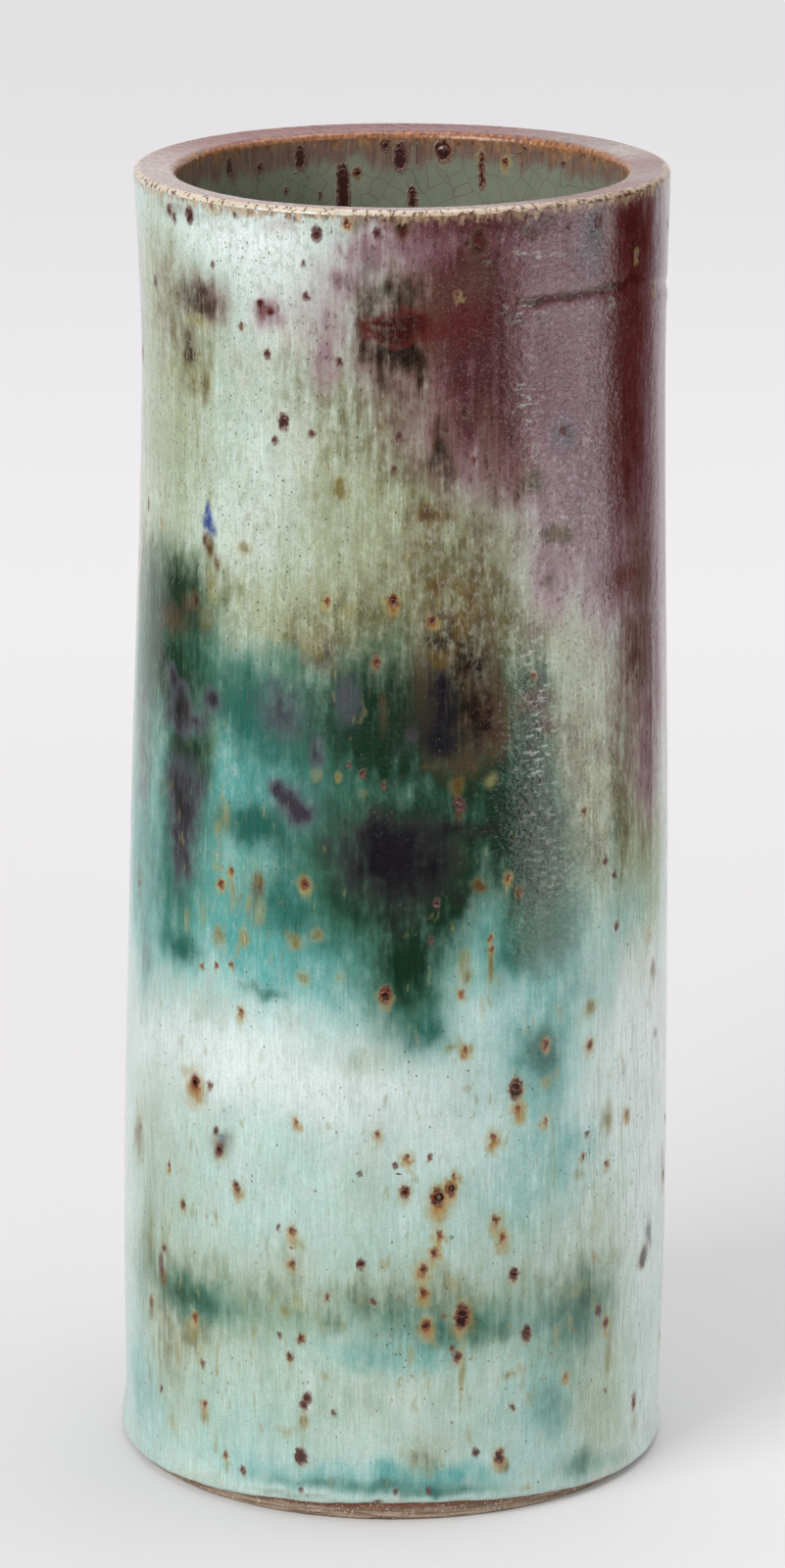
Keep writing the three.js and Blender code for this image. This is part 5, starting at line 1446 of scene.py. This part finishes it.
def makeBlisterTree(material):
    tree = bpy.data.node_groups.new("ironBlisters", "GeometryNodeTree")
    tree.interface.new_socket("spots", in_out="INPUT", socket_type="NodeSocketGeometry")
    for key in ("rimHeight", "craterDepth", "root", "variation"):
        tree.interface.new_socket(key, in_out="INPUT", socket_type="NodeSocketFloat")
    tree.interface.new_socket("blisters", in_out="OUTPUT", socket_type="NodeSocketGeometry")
    given = tree.nodes.new("NodeGroupInput").outputs
    spotRadius, burst, facing = [
        add(tree, "GeometryNodeInputNamedAttribute", {"Name": name}, data_type=kind)
        for name, kind in (("spotRadius", "FLOAT"), ("burst", "FLOAT"), ("outward", "FLOAT_VECTOR"))]
    ball = add(tree, "GeometryNodeMeshUVSphere", {
        "Segments": blister["segments"], "Rings": blister["rings"], "Radius": 1.0})
    x, y, z = add(tree, "SeparateXYZ", [add(tree, "GeometryNodeInputPosition")]).node.outputs
    outward = add(tree, "VectorMath", [add(tree, "CombineXYZ", (x, y))], out=1, operation="LENGTH")
    above = add(tree, "Math", (z, 0.0), **greater)
    below = add(tree, "Math", (z, 0.0), operation="MINIMUM")
    bowl = add(tree, "Math", (add(tree, "MapRange", (outward, 0.7, 0.15), **soft), -1.0), **times)
    crater = add(tree, "Math", (bowl, given["craterDepth"], given["rimHeight"]), **timesPlus)
    dome = add(tree, "Math", (given["rimHeight"], 2.0), **times)
    shapes = []
    for top in (crater, dome):  # burst, and unbroken
        rise = add(tree, "Math", (above, top), **times)
        up = add(tree, "Math", (below, given["root"], rise), **timesPlus)
        stored = {"Geometry": ball, "Name": "fromCentre", "Value": outward}
        marked = add(tree, "GeometryNodeStoreNamedAttribute", stored, data_type="FLOAT", domain="POINT")
        moved = add(tree, "CombineXYZ", (x, y, up))
        shape = add(tree, "GeometryNodeSetPosition", {0: marked, "Position": moved})
        shapes.append(add(tree, "GeometryNodeSetShadeSmooth", [shape]))
    limits = []
    for way in (less, plus):
        limit = add(tree, "Math", (1.0, given["variation"]), **way)
        limits.append(add(tree, "CombineXYZ", [limit] * 3))
    uneven = add(tree, "FunctionNodeRandomValue", {0: limits[0], 1: limits[1], "Seed": blister["seed"]},
                 data_type="FLOAT_VECTOR")
    size = add(tree, "VectorMath", {0: uneven, "Scale": spotRadius}, **scale)
    turned = add(tree, "FunctionNodeAlignRotationToVector", {"Vector": facing}, axis="Z")
    joined = tree.nodes.new("GeometryNodeJoinGeometry")
    for shape, wanted in zip(shapes, (1.0, 0.0)):
        chosen = add(tree, "FunctionNodeCompare", {0: burst, 1: wanted, "Epsilon": 0.1},
                     data_type="FLOAT", operation="EQUAL")
        placed = add(tree, "GeometryNodeInstanceOnPoints", {
            "Points": given["spots"], "Selection": chosen, "Instance": shape,
            "Rotation": turned, "Scale": size})
        tree.links.new(placed, joined.inputs[0])
    real = add(tree, "GeometryNodeRealizeInstances", [joined.outputs[0]])
    add(tree, "NodeGroupOutput", [add(tree, "GeometryNodeSetMaterial", {0: real, "Material": material})])
    return tree


def makeBlisters(name, tree, spots, faceAt, facing):
    # spots: (bearing, height, core, rustiness, whether it burst); facing is 1 outside and -1 inside
    points, outward = [], []
    for bearing, h, *_ in spots:
        x, y = byHand(bearing, faceAt(bearing, h) - facing * blister["bedded"], h)
        points.append((x * mm, y * mm, h * mm))
        outward += [facing * math.sin(bearing), -facing * math.cos(bearing), 0.0]
    _, _, cores, rusts, bursts = zip(*spots)
    mesh = bpy.data.meshes.new(name + "Places")
    mesh.from_pydata(points, [], [])
    mesh.attributes.new("outward", "FLOAT_VECTOR", "POINT").data.foreach_set("vector", outward)
    radii = [core * blister["spread"] * mm for core in cores]
    for key, values in (("spotRadius", radii), ("rustiness", rusts), ("burst", bursts)):
        mesh.attributes.new(key, "FLOAT", "POINT").data.foreach_set("value", [float(v) for v in values])
    piece = showObject(name, mesh)
    modifier = piece.modifiers.new("blisters", "NODES")
    modifier.node_group = tree
    for socket in tree.interface.items_tree:
        if socket.in_out == "INPUT" and socket.socket_type == "NodeSocketFloat":
            modifier[socket.identifier] = blister[socket.name]
    bpy.context.view_layer.update()
    depsgraph = bpy.context.evaluated_depsgraph_get()
    plain = bpy.data.meshes.new_from_object(piece.evaluated_get(depsgraph), preserve_all_data_layers=True,
                                            depsgraph=depsgraph)
    piece.modifiers.clear()
    piece.data = plain
    plain.name = name
    places = np.empty(len(plain.vertices) * 3)
    plain.vertices.foreach_get("co", places)
    places = places.reshape(-1, 3)
    places[:, 0], places[:, 1] = (side * mm for side in stayInside(places[:, 0] / mm, places[:, 1] / mm))
    plain.vertices.foreach_set("co", places.ravel())
    plain.update()
    countTriangles(piece)
    return piece


def largeSpots(names, spots):
    return [(bearing, h, core, rust, name not in blister["unbroken"])
            for name, (bearing, h, core, halo, tail, rust) in zip(names, spots)
            if core * photoScale >= blister["smallest"]]


blisterTree = makeBlisterTree(burstIron())
outerPlaces = largeSpots(ironSpots, outerSpots) + largeSpots([""] * len(backSpots), backSpots)
outerBlisters = makeBlisters("iron_blisters", blisterTree, outerPlaces, outerFace, 1)
innerPlaces = largeSpots(innerSpots, spotsFromPhoto(innerSpots, clayInner, True))
innerBlisters = makeBlisters("inner_blisters", blisterTree, innerPlaces, innerFace, -1)

for piece, node, slot in [
    (outerSkin, "outer_glaze", "flambe_glaze"), (lipSkin, "lip_glaze", "lip_glaze"),
    (innerSkin, "inner_glaze", "celadon_glaze"), (poolSkin, "floor_glaze", "celadon_pool"),
    (footClay, "floor_disc", "stoneware_body"),
    (outerBlisters, "outer_glaze", "flambe_glaze"), (innerBlisters, "inner_glaze", "celadon_glaze"),
]:
    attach(piece, "root")
    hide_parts(node)

# The table, the camera and the light

stage = {
    "floorSize": 9.0, "floorTint": "dfdddd",
    # the floor's glow, seen by the camera and in the gloss, is painted light: dimmer near the vessel and far
    # off, brightest between
    "glow": {"near": 0.80, "middle": 0.90, "far": 0.80, "nearAt": -0.1, "middleAt": 0.55, "farAt": 2.2},
    "glowShare": {"near": 0.08, "far": 0.92, "nearAt": 0.05, "farAt": 0.8},
}


def seenDirectly(tree):  # 1 to the camera and in the gloss, and 0 to the light that falls on the vessel
    rays = add(tree, "LightPath").node.outputs
    return add(tree, "Math", (rays["Is Camera Ray"], rays["Is Glossy Ray"]), **greater)


def makeFloor():
    half = stage["floorSize"] / 2
    mesh = bpy.data.meshes.new("floor")
    corners = [(-half, -half, 0), (half, -half, 0), (half, half, 0), (-half, half, 0)]
    mesh.from_pydata(corners, [], [(0, 1, 2, 3)])
    material, tree = newMaterial("paperSweep")
    matt = add(tree, "BsdfDiffuse", [stage["floorTint"]])
    away = add(tree, "SeparateXYZ", [add(tree, "TexCoord", out=3)], out=1)
    glow, veil = stage["glow"], stage["glowShare"]
    # the glow rises and falls with distance: a painted pool of light on the floor
    rise = add(tree, "MapRange", (
        away, glow["nearAt"], glow["middleAt"], glow["near"], glow["middle"]), **soft)
    fall = add(tree, "MapRange", (
        away, glow["middleAt"], glow["farAt"], 0.0, glow["middle"] - glow["far"]), **soft)
    level = add(tree, "Math", (rise, fall), **less)
    shine = add(tree, "Emission", ("fffdff", level))
    share = add(tree, "MapRange", (away, veil["nearAt"], veil["farAt"], veil["near"], veil["far"]))
    share = add(tree, "Math", (share, seenDirectly(tree)), **times)
    add(tree, "OutputMaterial", [add(tree, "MixShader", (share, matt, shine))])
    mesh.materials.append(material)
    showObject("floor", mesh)


makeFloor()

lights = {
    "sideBox": {"azimuth": 73, "far": 0.47, "middle": 0.11, "size": (0.44, 0.22), "radiance": 1.5},
    "keyBox": {"at": (-1.25, -1.35, 1.25), "aim": (0, 0, 0.15), "size": (1.2, 1.2), "radiance": 7.6},
    "overBox": {"at": (0.3, 0.3, 1.9), "aim": (0, 0, 0.1), "size": (1.6, 1.6), "radiance": 2.4},
}


def makeLight(name, at, aim, size, radiance):  # an area light whose face has this brightness
    lamp = bpy.data.lights.new(name, "AREA")
    lamp.shape = "RECTANGLE"
    lamp.size, lamp.size_y = size
    lamp.energy = radiance * size[0] * size[1] * math.pi
    light = showObject(name, lamp)
    light.location = at
    light.rotation_euler = (Vector(aim) - Vector(at)).to_track_quat("-Z", "Y").to_euler()


side = lights["sideBox"]
angle = math.radians(side["azimuth"])
makeLight("sideBox", (side["far"] * math.sin(angle), -side["far"] * math.cos(angle), side["middle"]),
          (0, 0, side["middle"]), side["size"], side["radiance"])
for name in ("keyBox", "overBox"):
    makeLight(name, **lights[name])

# Black cards that keep the white table out of the gloss: azimuths, and distances and heights of their edges
cards = {
    "tableCard": {"turns": (-118, 50), "edges": ((0.17, 0.002), (1.6, 0.002))},
    "sideCard": {"turns": (95, 136), "edges": ((0.5, 0.0), (0.5, 0.5))},
}


def makeCard(name, turns, edges, count=24):
    angles = np.radians(np.linspace(*turns, count))
    points = [(r * math.sin(t), -r * math.cos(t), z) for r, z in edges for t in angles]
    mesh = bpy.data.meshes.new(name)
    mesh.from_pydata(points, [], [(i, i + 1, count + i + 1, count + i) for i in range(count - 1)])
    mesh.materials.append(felt)
    card = showObject(name, mesh)
    card.visible_camera = card.visible_diffuse = card.visible_shadow = False


felt, feltTree = newMaterial("blackFelt")
add(feltTree, "OutputMaterial", [add(feltTree, "BsdfDiffuse", ["161616"])])
for name, card in cards.items():
    makeCard(name, **card)

world = bpy.data.worlds.new("studio")
bpy.context.scene.world = world
world.use_nodes = True
sky = world.node_tree
sky.nodes.clear()
ambient = add(sky, "Background", ("f4f4f6", 0.42))
plain = add(sky, "Background", ("ecebec", 1.0))
add(sky, "OutputWorld", [add(sky, "MixShader", (seenDirectly(sky), ambient, plain))])

lens = bpy.data.cameras.new("camera")
lens.sensor_fit = "VERTICAL"
lens.sensor_height = camera["sensor"]
lens.lens = camera["focalPixels"] / camera["picture"][1] * camera["sensor"]
lens.clip_start, lens.clip_end = 0.1, 50
eye = showObject("camera", lens)
eye.location = [v * mm for v in camera["standsAt"]]
eye.rotation_euler = (math.radians(90 - camera["looksDown"]), 0, 0)
bpy.context.scene.camera = eye
bpy.context.scene.view_settings.view_transform = "Standard"
